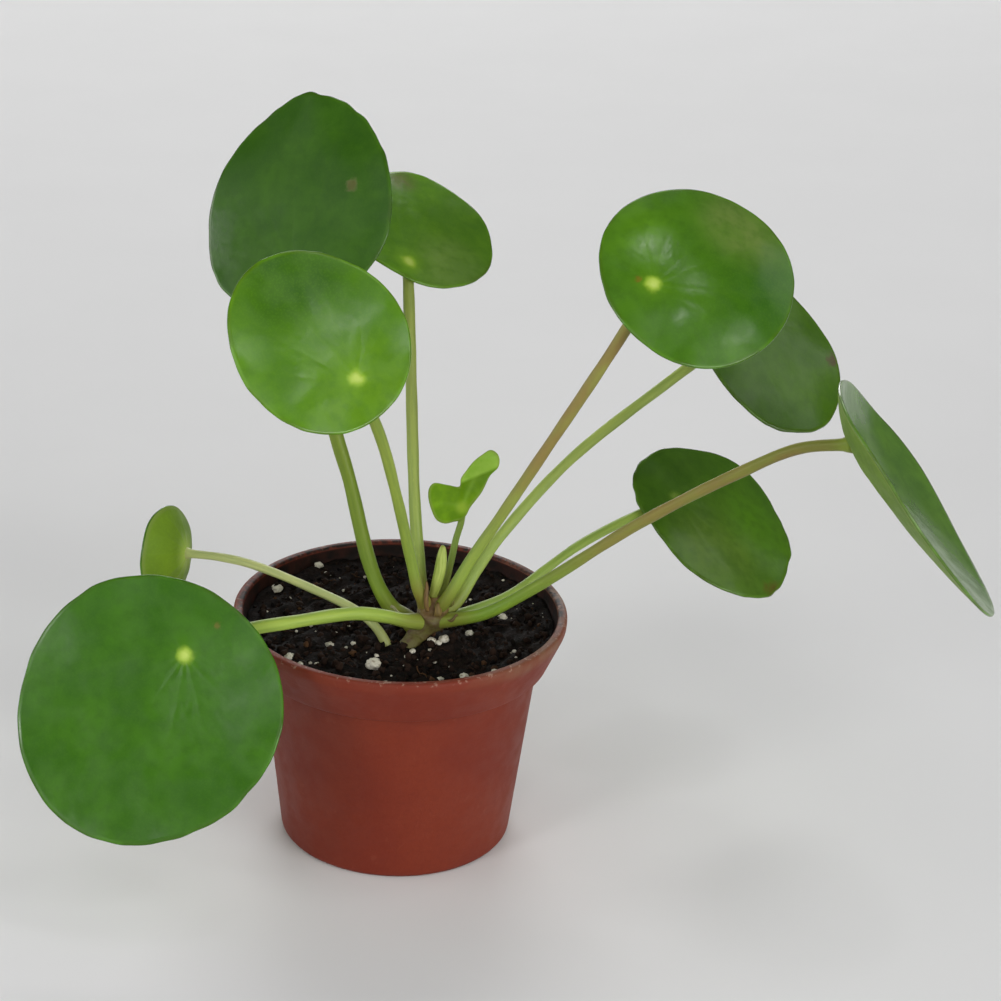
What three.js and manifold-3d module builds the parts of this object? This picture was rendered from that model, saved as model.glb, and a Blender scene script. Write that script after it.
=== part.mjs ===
// A potted Chinese money plant: ten round peltate leaves on stalks that grow from one short stem,
// in dark soil with white perlite grains, in a small tapered plastic nursery pot.
// Millimetres, +Z up, origin at the middle of the pot's flat base. The plant's front faces -Y.

import * as THREE from "three";
import { mergeVertices } from "three/addons/utils/BufferGeometryUtils.js";
import Module from "manifold-3d";

const wasm = await Module();
wasm.setup();

// Driving dimensions
const GAP = 0.3; // clearance between pieces that touch

const POT_HEIGHT = 58.3;
const RIM_RADIUS = 40;
const LIP_WIDTH = 2.2; // thickness of the rolled lip, seen from above
const LIP_HEIGHT = 3; // straight band at the top of the collar
const COLLAR_RADIUS = 35.8; // at the collar's lower edge
const COLLAR_BOTTOM = 46.5;
const BODY_TOP_RADIUS = 33.4;
const BASE_RADIUS = 28;
const BASE_ROUND = 1.2; // rounding where the wall meets the base
const POT_WALL = 1.3;
const POT_FLOOR = 2;
const POT_SIDES = 48;
const DRAIN_HOLES = 6;
const DRAIN_RADIUS = 2.6;
const DRAIN_CIRCLE = 18;

const SOIL_LEVEL = 55;
const SOIL_BUMP = 0.7;
const SOIL_MOUND = 0.8; // how much higher the soil is around the stem
const SOIL_SIDES = 32;
const SOIL_RINGS = 5;

const BLADE_THICKNESS = 1.0;
const BLADE_RINGS = 4;
const BLADE_SIDES = 30;
const STALK_SIDES = 8;
const STALK_STEPS = 14;
const SEAT_ROOM = 0.45; // how far round its seat a stalk is kept off the blade, as a share of the half width

// The stem's middle line, from its buried end to its top, each with the radius there
const STEM_LINE = [
  { at: [-1, -14, 30], radius: 1.2 },
  { at: [0.5, -13.5, 44], radius: 2.2 },
  { at: [2.2, -13, 54], radius: 2.9 },
  { at: [4.2, -12.3, 58], radius: 3.3 },
  { at: [7.3, -11.2, 61.5], radius: 4.1 },
  { at: [7.8, -11.2, 64.5], radius: 3.3 },
  { at: [7.9, -11.3, 67.5], radius: 1.6 },
];

// The leaves. seat is where the stalk meets the blade's upper face, facing the compass direction and the rise
// in degrees of the blade's upper face, turn the tip's direction in the blade's own plane (0 hangs straight down).
// The stalk is offset from the blade's middle by inset. egg narrows the tip half, dome is the drop of the
// margin along and across the blade (below zero for a cup). funnel lifts the blade all round its seat by that
// slope, and curl lifts the blunt end further.
// via are the points that the stalk passes through on its way from the stem, thick its width at foot and top.
const LEAVES = [
  {
    seat: [-27.5, 12, 138.5], facing: 233, rise: 33, turn: 200,
    length: 54, width: 50.5, inset: 16.5, egg: 0.1, point: 0.04, dome: [1.6, 1.3], funnel: 0, curl: 0, wave: 0.5,
    via: [[1, -9.5, 60.5], [-2, -8, 62], [-5, -6.5, 66], [-8, -3.5, 72.5], [-13, 2, 90.5], [-16, 4.5, 99.5]],
    thick: [3.8, 3.3],
    blade: 0x2f5f25, stalk: 0x86a548,
  },
  {
    seat: [-11.2, -28, 128], facing: 288, rise: 35, turn: 217, spring: 62.5,
    length: 43.5, width: 40, inset: 12, egg: 0.08, point: 0, dome: [2.2, 0.4], funnel: 0, curl: 0, wave: 0.5,
    via: [[4, -13.5, 69.5], [2, -14.5, 78], [-1.5, -18, 94.5], [-5.5, -23, 111.5]], thick: [2.9, 2.6],
    blade: 0x55a02c, stalk: 0x8cab4c,
  },
  {
    seat: [-0.5, 25, 137.3], facing: 315, rise: 62, turn: 128, spring: 61,
    length: 40.5, width: 38.5, inset: 15, egg: 0.07, point: 0, dome: [1, 1], funnel: 0, curl: 0, wave: 0.4,
    via: [[5, -8, 66], [4, -5.5, 72.5], [2.5, 0, 86.5], [0.5, 16, 118.5]], thick: [3.0, 2.7],
    blade: 0x3d6c2c, stalk: 0x8cb04a,
  },
  {
    seat: [53.8, -18, 148.5], facing: 289, rise: 47, turn: 101, spring: 62.5,
    length: 46.5, width: 45, inset: 12.8, egg: 0.06, point: 0, dome: [4.2, 3.2], funnel: 0, curl: 0, wave: 0.4,
    via: [[10.5, -13.6, 67.3], [16, -13.8, 78], [22, -14, 88.5], [30.5, -15, 104], [47, -17, 134.5]],
    thick: [3.0, 2.6],
    blade: 0x3f8a20, stalk: 0x94854a,
  },
  {
    seat: [81.5, 30, 122.2], facing: 312, rise: 42, turn: 26, spring: 61,
    length: 42, width: 39.5, inset: 10.5, egg: 0.05, point: 0, dome: [1.3, 1], funnel: 0, curl: 0, wave: 0.4,
    via: [[12.5, -10, 64.5], [17.5, -6, 71.5], [22.5, -3, 78.5], [39, 9, 94], [63.5, 23, 110]], thick: [2.9, 2.6],
    blade: 0x40702f, stalk: 0x8fae4e,
  },
  {
    seat: [99, -35, 119], facing: 358, rise: 37.5, turn: -22, spring: 57.5,
    length: 61.5, width: 60, inset: 17.8, egg: 0.12, point: 0, dome: [-2.4, -3.7], funnel: 0.1, curl: 3.4, wave: 0.3,
    via: [[12, -13, 61.5], [19.5, -14, 64], [32, -16, 73], [54, -21.5, 92], [75, -28, 108], [87.5, -32, 116]],
    thick: [3.2, 2.6],
    blade: 0x4f8140, stalk: 0x93824a,
  },
  {
    seat: [67.3, 30, 76.3], facing: 323, rise: 52, turn: 40,
    length: 47.5, width: 44.5, inset: 12, egg: -0.15, point: 0, dome: [1.4, 1.1], funnel: 0, curl: 0, wave: 0.5,
    via: [[13.5, -6.5, 60], [19.5, -3.5, 61], [26, 0, 62.5], [43, 12.5, 70.5], [60.5, 26, 74.5]], thick: [2.6, 2.3],
    blade: 0x3a6e22, stalk: 0x93b254,
  },
  {
    seat: [-53.8, 18, 62.8], facing: 157, rise: -7, turn: 107,
    length: 25, width: 23.5, inset: 3, egg: 0, point: 0, dome: [-3.6, -3.4], funnel: 0, curl: 0, wave: 0.2,
    foot: [-1.5, -14.5, 48],
    via: [[-3, -13.5, 54.5], [-5.5, -12, 58.5], [-10, -9.5, 61.5], [-22, -2, 64], [-36.5, 8, 65], [-44, 12.5, 64.5]],
    thick: [2.4, 2.1],
    blade: 0x6c9138, stalk: 0x9bb45e,
  },
  {
    seat: [-48.3, -40, 64.5], facing: 263, rise: 31, turn: -30,
    length: 61.5, width: 60, inset: 15.4, egg: 0.08, point: 0, dome: [1.3, 1.3], funnel: 0, curl: 0, wave: 0.7,
    via: [[1.5, -15.5, 62.5], [-3.5, -18.5, 65], [-10.5, -22.5, 67.5], [-24, -29.5, 68.5], [-37.5, -33, 67]],
    thick: [3.2, 3.0],
    blade: 0x3b8028, stalk: 0x8fb04c,
  },
];

// The young leaf: seat, facing, rise and turn as above. Its two halves are still folded and unlike each other,
// so margin gives its outline in millimetres up and to the left of the seat, from the tip round by the left,
// middle is a point from which the whole margin is seen, and furl bends both halves back from the midrib.
const YOUNG_LEAF = {
  seat: [13.7, -4, 86.8], facing: 268, rise: 24, turn: 180, spring: 65,
  middle: [3.1, -0.2],
  margin: [
    [13.9, -6.1], [12.6, -4], [10.9, -2.1], [8.8, -0.6], [6.9, 0.6], [5, 0.9], [5.2, 3.5], [5.5, 7], [4.4, 8],
    [2.4, 8.2], [-0.8, 7.3], [-3.2, 5.9], [-3.9, 4], [-3.4, 1.8], [-2.9, 0], [-1.6, -1.1], [0, -1.8],
    [3.8, -4.4], [7.9, -6.3], [9.8, -8], [11.7, -8.3], [13.2, -7.6],
  ],
  furl: 0.5,
  width: 20,
  thickness: 0.8,
  via: [[10.4, -9.7, 70.6], [11.3, -8.4, 74.2], [12.5, -5.4, 79.4], [13.6, -3.9, 83.3]],
  thick: [1.8, 1.6],
  blade: 0x67a01c, stalk: 0x8fae45,
};

// The pointed bud in the middle of the crown: foot, tip and greatest width
const BUD = { foot: [7.5, -12.1, 67.5], tip: [9.4, -11.6, 80.5], thick: 2.8, color: 0x9cb356 };

// Perlite grains that show on the soil: place and size across
const PERLITE = [
  { at: [-6, -24], size: 3.8 },
  { at: [8, -5.5], size: 2.4 },
  { at: [16.5, -7], size: 2 },
  { at: [24.5, 2.5], size: 2.4 },
  { at: [-16.5, -14], size: 2 },
  { at: [-30.5, 15.5], size: 2.8 },
  { at: [-20.8, 28.6], size: 2.2 },
  { at: [15, -28.5], size: 2.4 },
  { at: [-26, -21], size: 2.2 },
];

const COLORS = { pot: 0x82301f, soil: 0x1c1613, stem: 0x6a6a33, perlite: 0xb9b5a4 };

// Turns a closed mesh into a solid that can be joined and cut
function solidFrom(geometry) {
  const bare = geometry.clone();
  for (const name of Object.keys(bare.attributes)) {
    if (name !== "position") bare.deleteAttribute(name);
  }
  const merged = mergeVertices(bare, 1e-5);
  const vertProperties = new Float32Array(merged.attributes.position.array);
  const triVerts = new Uint32Array(merged.index.array);
  return new wasm.Manifold(new wasm.Mesh({ numProp: 3, vertProperties, triVerts }));
}

// Turns a solid back into a mesh
function geometryFrom(solid) {
  const mesh = solid.getMesh();
  const geometry = new THREE.BufferGeometry();
  geometry.setAttribute("position", new THREE.BufferAttribute(new Float32Array(mesh.vertProperties), 3));
  geometry.setIndex(new THREE.BufferAttribute(new Uint32Array(mesh.triVerts), 1));
  geometry.computeVertexNormals();
  return geometry;
}

// The largest body of a solid that a cut left in several
function largestBody(solid) {
  const bodies = solid.decompose();
  return bodies.reduce((best, body) => (body.volume() > best.volume() ? body : best));
}

// A closed skin over a row of rings, with a point at each end. Up to the ring number mirrorFrom the four-sided
// cells are split one way and from there the other way, so that two facing rows of rings split alike.
function skinOverRings(first, rings, last, mirrorFrom = rings.length) {
  const sides = rings[0].length;
  const points = [first, ...rings.flat(), last];
  const at = (ring, side) => 1 + ring * sides + (side % sides);
  const end = points.length - 1;
  const faces = [];
  for (let side = 0; side < sides; side += 1) {
    faces.push(0, at(0, side), at(0, side + 1));
    for (let ring = 0; ring + 1 < rings.length; ring += 1) {
      const a = at(ring, side);
      const b = at(ring, side + 1);
      const c = at(ring + 1, side + 1);
      const d = at(ring + 1, side);
      if (ring < mirrorFrom) faces.push(a, d, c, a, c, b);
      else faces.push(a, d, b, b, d, c);
    }
    faces.push(at(rings.length - 1, side), end, at(rings.length - 1, side + 1));
  }
  const geometry = new THREE.BufferGeometry();
  geometry.setAttribute("position", new THREE.Float32BufferAttribute(points.flatMap((p) => p.toArray()), 3));
  geometry.setIndex(faces);
  return geometry;
}

// A solid round bar along a smooth line through the points, its radius given as a function of the way along.
// Each end is moved out by longer.
function barAlong(points, radiusAt, steps, sides, longer = 0) {
  const line = new THREE.CatmullRomCurve3(points.map((p) => new THREE.Vector3(...p)), false, "centripetal");
  const frames = line.computeFrenetFrames(steps, false);
  const rings = [];
  const middles = [];
  for (let step = 0; step <= steps; step += 1) {
    const end = step === 0 ? -longer : step === steps ? longer : 0;
    const middle = line.getPointAt(step / steps).addScaledVector(frames.tangents[step], end);
    const radius = radiusAt(step / steps);
    const ring = [];
    for (let side = 0; side < sides; side += 1) {
      const angle = (2 * Math.PI * side) / sides;
      const point = middle.clone();
      point.addScaledVector(frames.normals[step], radius * Math.cos(angle));
      point.addScaledVector(frames.binormals[step], -radius * Math.sin(angle));
      ring.push(point);
    }
    rings.push(ring);
    middles.push(middle);
  }
  return solidFrom(skinOverRings(middles[0], rings, middles[steps]));
}

// The place of a leaf: z out of the upper face, x towards the tip, y to the side
function leafPlacement(leaf) {
  const facing = THREE.MathUtils.degToRad(leaf.facing);
  const rise = THREE.MathUtils.degToRad(leaf.rise);
  const turn = THREE.MathUtils.degToRad(leaf.turn);
  const normal = new THREE.Vector3(
    Math.cos(facing) * Math.cos(rise), Math.sin(facing) * Math.cos(rise), Math.sin(rise));
  const down = new THREE.Vector3(
    Math.cos(facing) * Math.sin(rise), Math.sin(facing) * Math.sin(rise), -Math.cos(rise));
  const across = new THREE.Vector3().crossVectors(normal, down);
  const tip = down.multiplyScalar(Math.cos(turn)).addScaledVector(across, Math.sin(turn));
  const side = new THREE.Vector3().crossVectors(normal, tip);
  return new THREE.Matrix4().makeBasis(tip, side, normal).setPosition(...leaf.seat);
}

// A blade between two faces that lie above and below its surface; outline(way) is its margin, once round
function bladeSolid({ middle, outline, height, above, below, place, ringCount = BLADE_RINGS, sides = BLADE_SIDES }) {
  const onBlade = (x, y, offset) => new THREE.Vector3(x, y, height(x, y) + offset).applyMatrix4(place);
  const faceRings = (offset) => {
    const rings = [];
    for (let ring = 1; ring <= ringCount; ring += 1) {
      const share = ring / ringCount;
      const row = [];
      for (let side = 0; side < sides; side += 1) {
        const [x, y] = outline(side / sides);
        row.push(onBlade(middle[0] + share * (x - middle[0]), middle[1] + share * (y - middle[1]), offset));
      }
      rings.push(row);
    }
    return rings;
  };
  const rings = [...faceRings(above), ...faceRings(below).reverse()];
  return solidFrom(skinOverRings(onBlade(...middle, above), rings, onBlade(...middle, below), ringCount));
}

// The margin and the surface of a full-grown leaf, measured from where its stalk meets it
function grownBlade(leaf, number) {
  const halfLength = leaf.length / 2;
  const halfWidth = leaf.width / 2;
  const outline = (way) => {
    const angle = 2 * Math.PI * way;
    const fromTip = Math.min(angle, 2 * Math.PI - angle);
    const sharp = leaf.point * halfLength * Math.exp(-((fromTip / 0.45) ** 2));
    const x = leaf.inset + halfLength * Math.cos(angle) + sharp;
    const y = halfWidth * Math.sin(angle) * (1 - leaf.egg * Math.cos(angle));
    return [x, y];
  };
  const surface = (x, y) => {
    const along = (x - leaf.inset) / halfLength;
    const across = y / halfWidth;
    const out = Math.min(along * along + across * across, 1.3);
    const funnel = leaf.funnel * (Math.hypot(x, y, 3) - 3);
    const bluntEnd = leaf.inset - halfLength;
    const curl = leaf.curl * (Math.min(x, 0) / bluntEnd) ** 2;
    const ripple = leaf.wave * out ** 1.5 * Math.sin(5 * Math.atan2(across, along) + 2 * number);
    return funnel + curl + ripple - leaf.dome[0] * along * along - leaf.dome[1] * across * across;
  };
  const zero = surface(0, 0);
  return { middle: [0, 0], outline, height: (x, y) => surface(x, y) - zero };
}

// The margin and the surface of the young leaf, its halves bent back from the midrib
function youngBlade(leaf) {
  const points = leaf.margin.map(([x, y]) => new THREE.Vector3(x, y, 0));
  const margin = new THREE.CatmullRomCurve3(points, true, "centripetal");
  const outline = (way) => {
    const point = margin.getPointAt(way);
    return [point.x, point.y];
  };
  const height = (x, y) => -leaf.furl * (Math.hypot(y, 1) - 1);
  return { middle: leaf.middle, outline, height };
}

// A leaf's blade and its stalk; the stalk is cut back from the stem at its foot and from the blade at its top
function buildLeaf(leaf, form, thickness, stemRoom) {
  const place = leafPlacement(leaf);
  const blade = bladeSolid({ ...form, above: 0, below: -thickness, place });
  const reach = (SEAT_ROOM * leaf.width) / 2;
  const disc = (way) => [reach * Math.cos(2 * Math.PI * way), reach * Math.sin(2 * Math.PI * way)];
  const bladeRoom = bladeSolid({
    middle: [0, 0], outline: disc, height: form.height, above: 4, below: -thickness - 1.4 * GAP, place,
    ringCount: 2, sides: 12,
  });
  const points = [leaf.foot ?? stemAxisAt(leaf.spring ?? leaf.via[0][2] - 2), ...leaf.via, leaf.seat];
  const radius = (way) => THREE.MathUtils.lerp(leaf.thick[0], leaf.thick[1], Math.min(1, 2.5 * way)) / 2;
  const whole = barAlong(points, radius, STALK_STEPS, STALK_SIDES);
  const stalk = largestBody(whole.subtract(bladeRoom).subtract(stemRoom));
  const stalkRoom = barAlong(points, (way) => radius(way) + GAP, STALK_STEPS, STALK_SIDES, GAP);
  return { blade, stalk, stalkRoom };
}

// The stem's middle at a height
function stemAxisAt(height) {
  const upper = STEM_LINE.findIndex((row) => row.at[2] >= height);
  const low = STEM_LINE[upper - 1].at;
  const high = STEM_LINE[upper].at;
  const share = (height - low[2]) / (high[2] - low[2]);
  return low.map((value, axis) => THREE.MathUtils.lerp(value, high[axis], share));
}

// The short stem: a bar that swells towards its crown
function stemSolid(extra) {
  const last = STEM_LINE.length - 1;
  const radiusAt = (way) => {
    const place = way * last;
    const from = Math.min(Math.floor(place), last - 1);
    return THREE.MathUtils.lerp(STEM_LINE[from].radius, STEM_LINE[from + 1].radius, place - from) + extra;
  };
  return barAlong(STEM_LINE.map((row) => row.at), radiusAt, 12, 12, extra);
}

// The pot: a turned shell with a lip, a flared collar and a step, and drainage holes in its floor
function potSolid() {
  const innerRim = RIM_RADIUS - LIP_WIDTH;
  const innerBase = BASE_RADIUS - POT_WALL;
  const profile = [
    [0, 0],
    [BASE_RADIUS - BASE_ROUND, 0],
    [BASE_RADIUS - 0.3 * BASE_ROUND, 0.3 * BASE_ROUND],
    [BASE_RADIUS, BASE_ROUND],
    [BODY_TOP_RADIUS, COLLAR_BOTTOM - 0.4],
    [COLLAR_RADIUS - 0.4, COLLAR_BOTTOM],
    [COLLAR_RADIUS, COLLAR_BOTTOM + 0.5],
    [RIM_RADIUS - 0.3, POT_HEIGHT - LIP_HEIGHT],
    [RIM_RADIUS, POT_HEIGHT - LIP_HEIGHT + 0.8],
    [RIM_RADIUS, POT_HEIGHT - 0.6],
    [RIM_RADIUS - 0.6, POT_HEIGHT],
    [innerRim + 0.6, POT_HEIGHT],
    [innerRim, POT_HEIGHT - 0.6],
    [innerRim - 0.3, POT_HEIGHT - LIP_HEIGHT],
    [COLLAR_RADIUS - POT_WALL, COLLAR_BOTTOM + 0.5],
    [BODY_TOP_RADIUS - POT_WALL, COLLAR_BOTTOM - 1],
    [innerBase, POT_FLOOR],
    [0, POT_FLOOR],
  ];
  const turned = new THREE.LatheGeometry(profile.map(([r, h]) => new THREE.Vector2(r, h)), POT_SIDES);
  turned.rotateX(Math.PI / 2);
  let pot = solidFrom(turned);
  for (let hole = 0; hole < DRAIN_HOLES; hole += 1) {
    const angle = (2 * Math.PI * (hole + 0.5)) / DRAIN_HOLES;
    const drill = new THREE.CylinderGeometry(DRAIN_RADIUS, DRAIN_RADIUS, 3 * POT_FLOOR, 16);
    drill.rotateX(Math.PI / 2);
    drill.translate(DRAIN_CIRCLE * Math.cos(angle), DRAIN_CIRCLE * Math.sin(angle), POT_FLOOR / 2);
    pot = pot.subtract(solidFrom(drill));
  }
  return pot;
}

// The pot's inner radius at a height
function potInnerRadius(z) {
  const rows = [
    [POT_FLOOR, BASE_RADIUS - POT_WALL],
    [COLLAR_BOTTOM - 1, BODY_TOP_RADIUS - POT_WALL],
    [COLLAR_BOTTOM + 0.5, COLLAR_RADIUS - POT_WALL],
    [POT_HEIGHT - LIP_HEIGHT, RIM_RADIUS - LIP_WIDTH - 0.3],
  ];
  const upper = Math.max(1, rows.findIndex(([height]) => height >= z));
  const [z0, r0] = rows[upper - 1];
  const [z1, r1] = rows[upper];
  return THREE.MathUtils.mapLinear(z, z0, z1, r0, r1);
}

// The height of the soil's uneven top, mounded round the stem and lower at the wall
function soilHeight(x, y) {
  const lumps = Math.sin(0.55 * x + 1.3) * Math.cos(0.47 * y - 0.4) + 0.6 * Math.sin(1.1 * x - 0.9 * y);
  const mound = SOIL_MOUND * Math.exp(-((x - 4) ** 2 + (y + 12) ** 2) / 150);
  return SOIL_LEVEL + 0.6 * SOIL_BUMP * lumps + mound - 0.3;
}

// The soil: an uneven top, and plain sides that follow the pot's wall down to its floor
function soilSolid() {
  const ringAt = (radius, heightAt) => {
    const ring = [];
    for (let side = 0; side < SOIL_SIDES; side += 1) {
      const angle = (2 * Math.PI * side) / SOIL_SIDES;
      const x = radius * Math.cos(angle);
      const y = radius * Math.sin(angle);
      ring.push(new THREE.Vector3(x, y, heightAt(x, y)));
    }
    return ring;
  };
  // The pot's wall has flats, so the soil keeps clear of their middles
  const flats = Math.cos(Math.PI / POT_SIDES);
  const wall = (z) => potInnerRadius(z) * flats - GAP;
  const rings = [];
  const topRadius = wall(SOIL_LEVEL - 1);
  for (let ring = 1; ring <= SOIL_RINGS; ring += 1) {
    rings.push(ringAt((topRadius * ring) / SOIL_RINGS, soilHeight));
  }
  for (const z of [COLLAR_BOTTOM + 0.5, COLLAR_BOTTOM - 1, POT_FLOOR]) {
    rings.push(ringAt(wall(z), () => z + GAP));
  }
  const middle = new THREE.Vector3(0, 0, soilHeight(0, 0));
  return solidFrom(skinOverRings(middle, rings, new THREE.Vector3(0, 0, POT_FLOOR + GAP)));
}

// A perlite grain: a knobbly lump with its lower third in the soil, made larger all round by extra
function perliteSolid({ at: [x, y], size }, number, extra) {
  const ball = new THREE.IcosahedronGeometry(1, 1).deleteAttribute("normal").deleteAttribute("uv");
  const lump = mergeVertices(ball, 1e-4);
  const places = lump.attributes.position;
  for (let i = 0; i < places.count; i += 1) {
    const point = new THREE.Vector3().fromBufferAttribute(places, i);
    const knob = 1 + 0.16 * Math.sin(4 * point.x + 3 * number) * Math.cos(5 * point.y - number);
    point.multiplyScalar((knob * size) / 2);
    point.z *= 0.8;
    point.setLength(point.length() + 1.3 * extra);
    places.setXYZ(i, point.x, point.y, point.z);
  }
  lump.translate(x, y, soilHeight(x, y) + 0.15 * size);
  return solidFrom(lump);
}

// The bud: a pointed spindle
function budSolid() {
  const width = (way) => (BUD.thick / 2) * (0.75 + 0.5 * way) * Math.sqrt(Math.max(0, 1.02 - way ** 3));
  return barAlong([BUD.foot, BUD.tip], width, 8, 10);
}

const plant = new THREE.Group();
plant.name = "potted_chinese_money_plant";

function addPiece(name, solid, color, roughness) {
  const material = new THREE.MeshStandardMaterial({ color, roughness, metalness: 0 });
  const mesh = new THREE.Mesh(geometryFrom(solid), material);
  mesh.name = name;
  plant.add(mesh);
}

const stem = stemSolid(0);
const stemRoom = stemSolid(GAP);
let soil = soilSolid().subtract(stemRoom);

const leaves = LEAVES.map((leaf, index) =>
  buildLeaf(leaf, grownBlade(leaf, index + 1), BLADE_THICKNESS, stemRoom));
leaves.push(buildLeaf(YOUNG_LEAF, youngBlade(YOUNG_LEAF), YOUNG_LEAF.thickness, stemRoom));
const leafRows = [...LEAVES, YOUNG_LEAF];

for (const [index, row] of leafRows.entries()) {
  if (row.foot) soil = soil.subtract(leaves[index].stalkRoom);
}

addPiece("pot", potSolid(), COLORS.pot, 0.55);
addPiece("stem", stem, COLORS.stem, 0.7);
addPiece("leaf_bud", largestBody(budSolid().subtract(stemRoom)), BUD.color, 0.5);

for (const [index, { blade, stalk }] of leaves.entries()) {
  addPiece(`leaf_${index + 1}_blade`, blade, leafRows[index].blade, 0.35);
  addPiece(`leaf_${index + 1}_stalk`, stalk, leafRows[index].stalk, 0.45);
}

for (const [index, grain] of PERLITE.entries()) {
  soil = soil.subtract(perliteSolid(grain, index + 1, GAP));
  addPiece(`perlite_${index + 1}`, perliteSolid(grain, index + 1, 0), COLORS.perlite, 0.9);
}
addPiece("soil", soil, COLORS.soil, 0.95);

export default plant;
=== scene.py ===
import math

import bmesh
import bpy
import numpy as np
from mathutils import Matrix, Vector, noise


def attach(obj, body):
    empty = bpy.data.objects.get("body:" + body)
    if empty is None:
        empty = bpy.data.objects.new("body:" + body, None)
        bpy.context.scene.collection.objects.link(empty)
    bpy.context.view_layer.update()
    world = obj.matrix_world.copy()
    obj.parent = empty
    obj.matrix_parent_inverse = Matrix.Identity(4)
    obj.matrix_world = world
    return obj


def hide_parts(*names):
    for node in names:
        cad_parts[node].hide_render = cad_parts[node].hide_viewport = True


# A potted Chinese money plant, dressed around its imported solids. Sizes are in millimetres, and MM turns them
# into Blender's metres. The pot stands on z = 0 and the plant's front faces -Y.

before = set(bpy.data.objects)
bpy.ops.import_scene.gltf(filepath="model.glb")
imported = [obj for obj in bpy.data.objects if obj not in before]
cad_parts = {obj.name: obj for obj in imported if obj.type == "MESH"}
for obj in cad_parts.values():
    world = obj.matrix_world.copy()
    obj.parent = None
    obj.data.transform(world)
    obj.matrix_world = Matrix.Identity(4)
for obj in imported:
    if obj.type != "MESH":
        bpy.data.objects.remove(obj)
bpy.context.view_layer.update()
MM = 0.001

# Camera: where it stands, how far it looks down and to the right, and how far it leans, in radians
CAMERA_PLACE = (0, -600, 352.2)
CAMERA_DOWN = 0.4157
CAMERA_RIGHT = 0.0379
CAMERA_LEAN = 0.0436
CAMERA_LENS = 100

# Table: one sheet of paper, a little under the pot's base so that the two never share a plane
TABLE_SIZE = 6000
TABLE_LEVEL = -0.05

# Light: the room's brightness, and soft panels that face the plant. Each has a name, the compass direction
# and the height in degrees at which it stands, its distance, its width and height, and its brightness.
ROOM_BRIGHTNESS = 0.08
PLANT_MIDDLE = (10, 0, 80)
SOFTBOXES = [
    ("low_left", 180, 14, 2400, (1700, 500), 4.5),
    ("low_front_left", -135, 14, 2400, (1700, 500), 2),
    ("low_front", -90, 14, 2400, (1700, 500), 1),
    ("low_front_right", -45, 14, 2400, (1700, 500), 11),
    ("low_back", 90, 14, 2400, (1700, 500), 6),
    ("low_back_left", 135, 14, 2400, (1700, 500), 2),
    ("high_front_left", -135, 45, 2400, (1000, 1000), 0.5),
    ("high_front", -90, 45, 2400, (1000, 1000), 1.5),
    ("high_back", 90, 45, 2400, (1100, 1000), 3.5),
    ("wide_left", -170, 32, 2000, (980, 650), 0.5),
    ("wide_front", -122, 32, 2000, (580, 520), 0.25),
    ("lamp_left", -135, 25, 2000, (430, 320), 14),
    ("lamp_front", -101, 31, 2000, (240, 300), 2.5),
    ("lamp_right", 10, 35, 2000, (800, 700), 1),
    ("lamp_key", -52, 48, 2000, (330, 100), 11),
    ("lamp_key_low", -32, 33, 2000, (680, 130), 6),
    ("lamp_key_high", -27, 62, 2000, (100, 380), 8),
    ("lamp_top", -20, 78, 2000, (280, 150), 9),
]

# Pot, as in the solids
POT_HEIGHT = 58.3
RIM_RADIUS = 40
LIP_WIDTH = 2.2
LIP_HEIGHT = 3
COLLAR_RADIUS = 35.8
COLLAR_BOTTOM = 46.5
BODY_TOP_RADIUS = 33.4
BASE_RADIUS = 28
POT_WALL = 1.3
POT_FLOOR = 2
POT_SIDES = 192
DRAIN_HOLES = 6
DRAIN_RADIUS = 2.6
DRAIN_CIRCLE = 18
DRAIN_SIDES = 48

# Soil
SOIL_LEVEL = 55
SOIL_EDGE = 36.9
SOIL_HIGHEST = POT_HEIGHT - 1.6
# The rings down the soil's side, each with its radius and height
SOIL_SIDE = [(SOIL_EDGE - 2.8, 47.2), (BODY_TOP_RADIUS - POT_WALL - 0.3, 45.5), (26.2, 2.3)]
SOIL_SIDES = 160
SOIL_RINGS = 60
CRUMBS = 1500
CRUMB_SHAPES = 12
FIBRES = 150
FIBRE_STEPS = 7
FIBRE_SIDES = 5
SPECKS = 70

# Blades and stalks
BLADE_THICKNESS = 1.0
BLADE_SIDES = 216
BLADE_RINGS = 46
EDGE_STEPS = 4
EDGE_SHARE = 0.4  # how far the rounded edge stands out, as a share of the blade's thickness
STALK_SIDES = 24
STALK_STEPS = 110
STALK_END = 4  # over this length under the blade no part of a stalk rises above the middle of its end
MARGIN_POINTS = 720  # along the young leaf's margin
SWELL_SIZE = 16  # the usual length of the waves that make a blade gently uneven
SWELL_WAVES = 9
MAIN_VEINS = (0, 33, -33, 68, -68, 108, -108, 150, -150)  # degrees round the margin from the tip
SIDE_VEINS = 6  # on each side of a main vein

# Crown
STEM_SIDES = 40
STEM_STEPS = 60
BUD_SIDES = 32
BUD_STEPS = 48
SCALE_ROWS = 14
SCALE_COLUMNS = 9
SCALE_THICKNESS = 0.25

# Seeds of the random draws and of the grains' shapes
VEIN_SEED = 100
SWELL_SEED = 40
CRUMB_SEED = 5
FIBRE_SEED = 8
SPECK_SEED = 21
GRAIN_SEED = 30

# The stem's middle line, from its buried end to its top, each with the radius there
STEM_LINE = [
    ((-1, -14, 30), 1.2),
    ((0.5, -13.5, 44), 2.2),
    ((2.2, -13, 54), 2.9),
    ((4.2, -12.3, 58), 2.9),
    ((7.3, -11.2, 61.8), 3.7),
    ((7.8, -11.2, 64.8), 3.2),
    ((7.9, -11.3, 67.5), 1.6),
]

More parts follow.
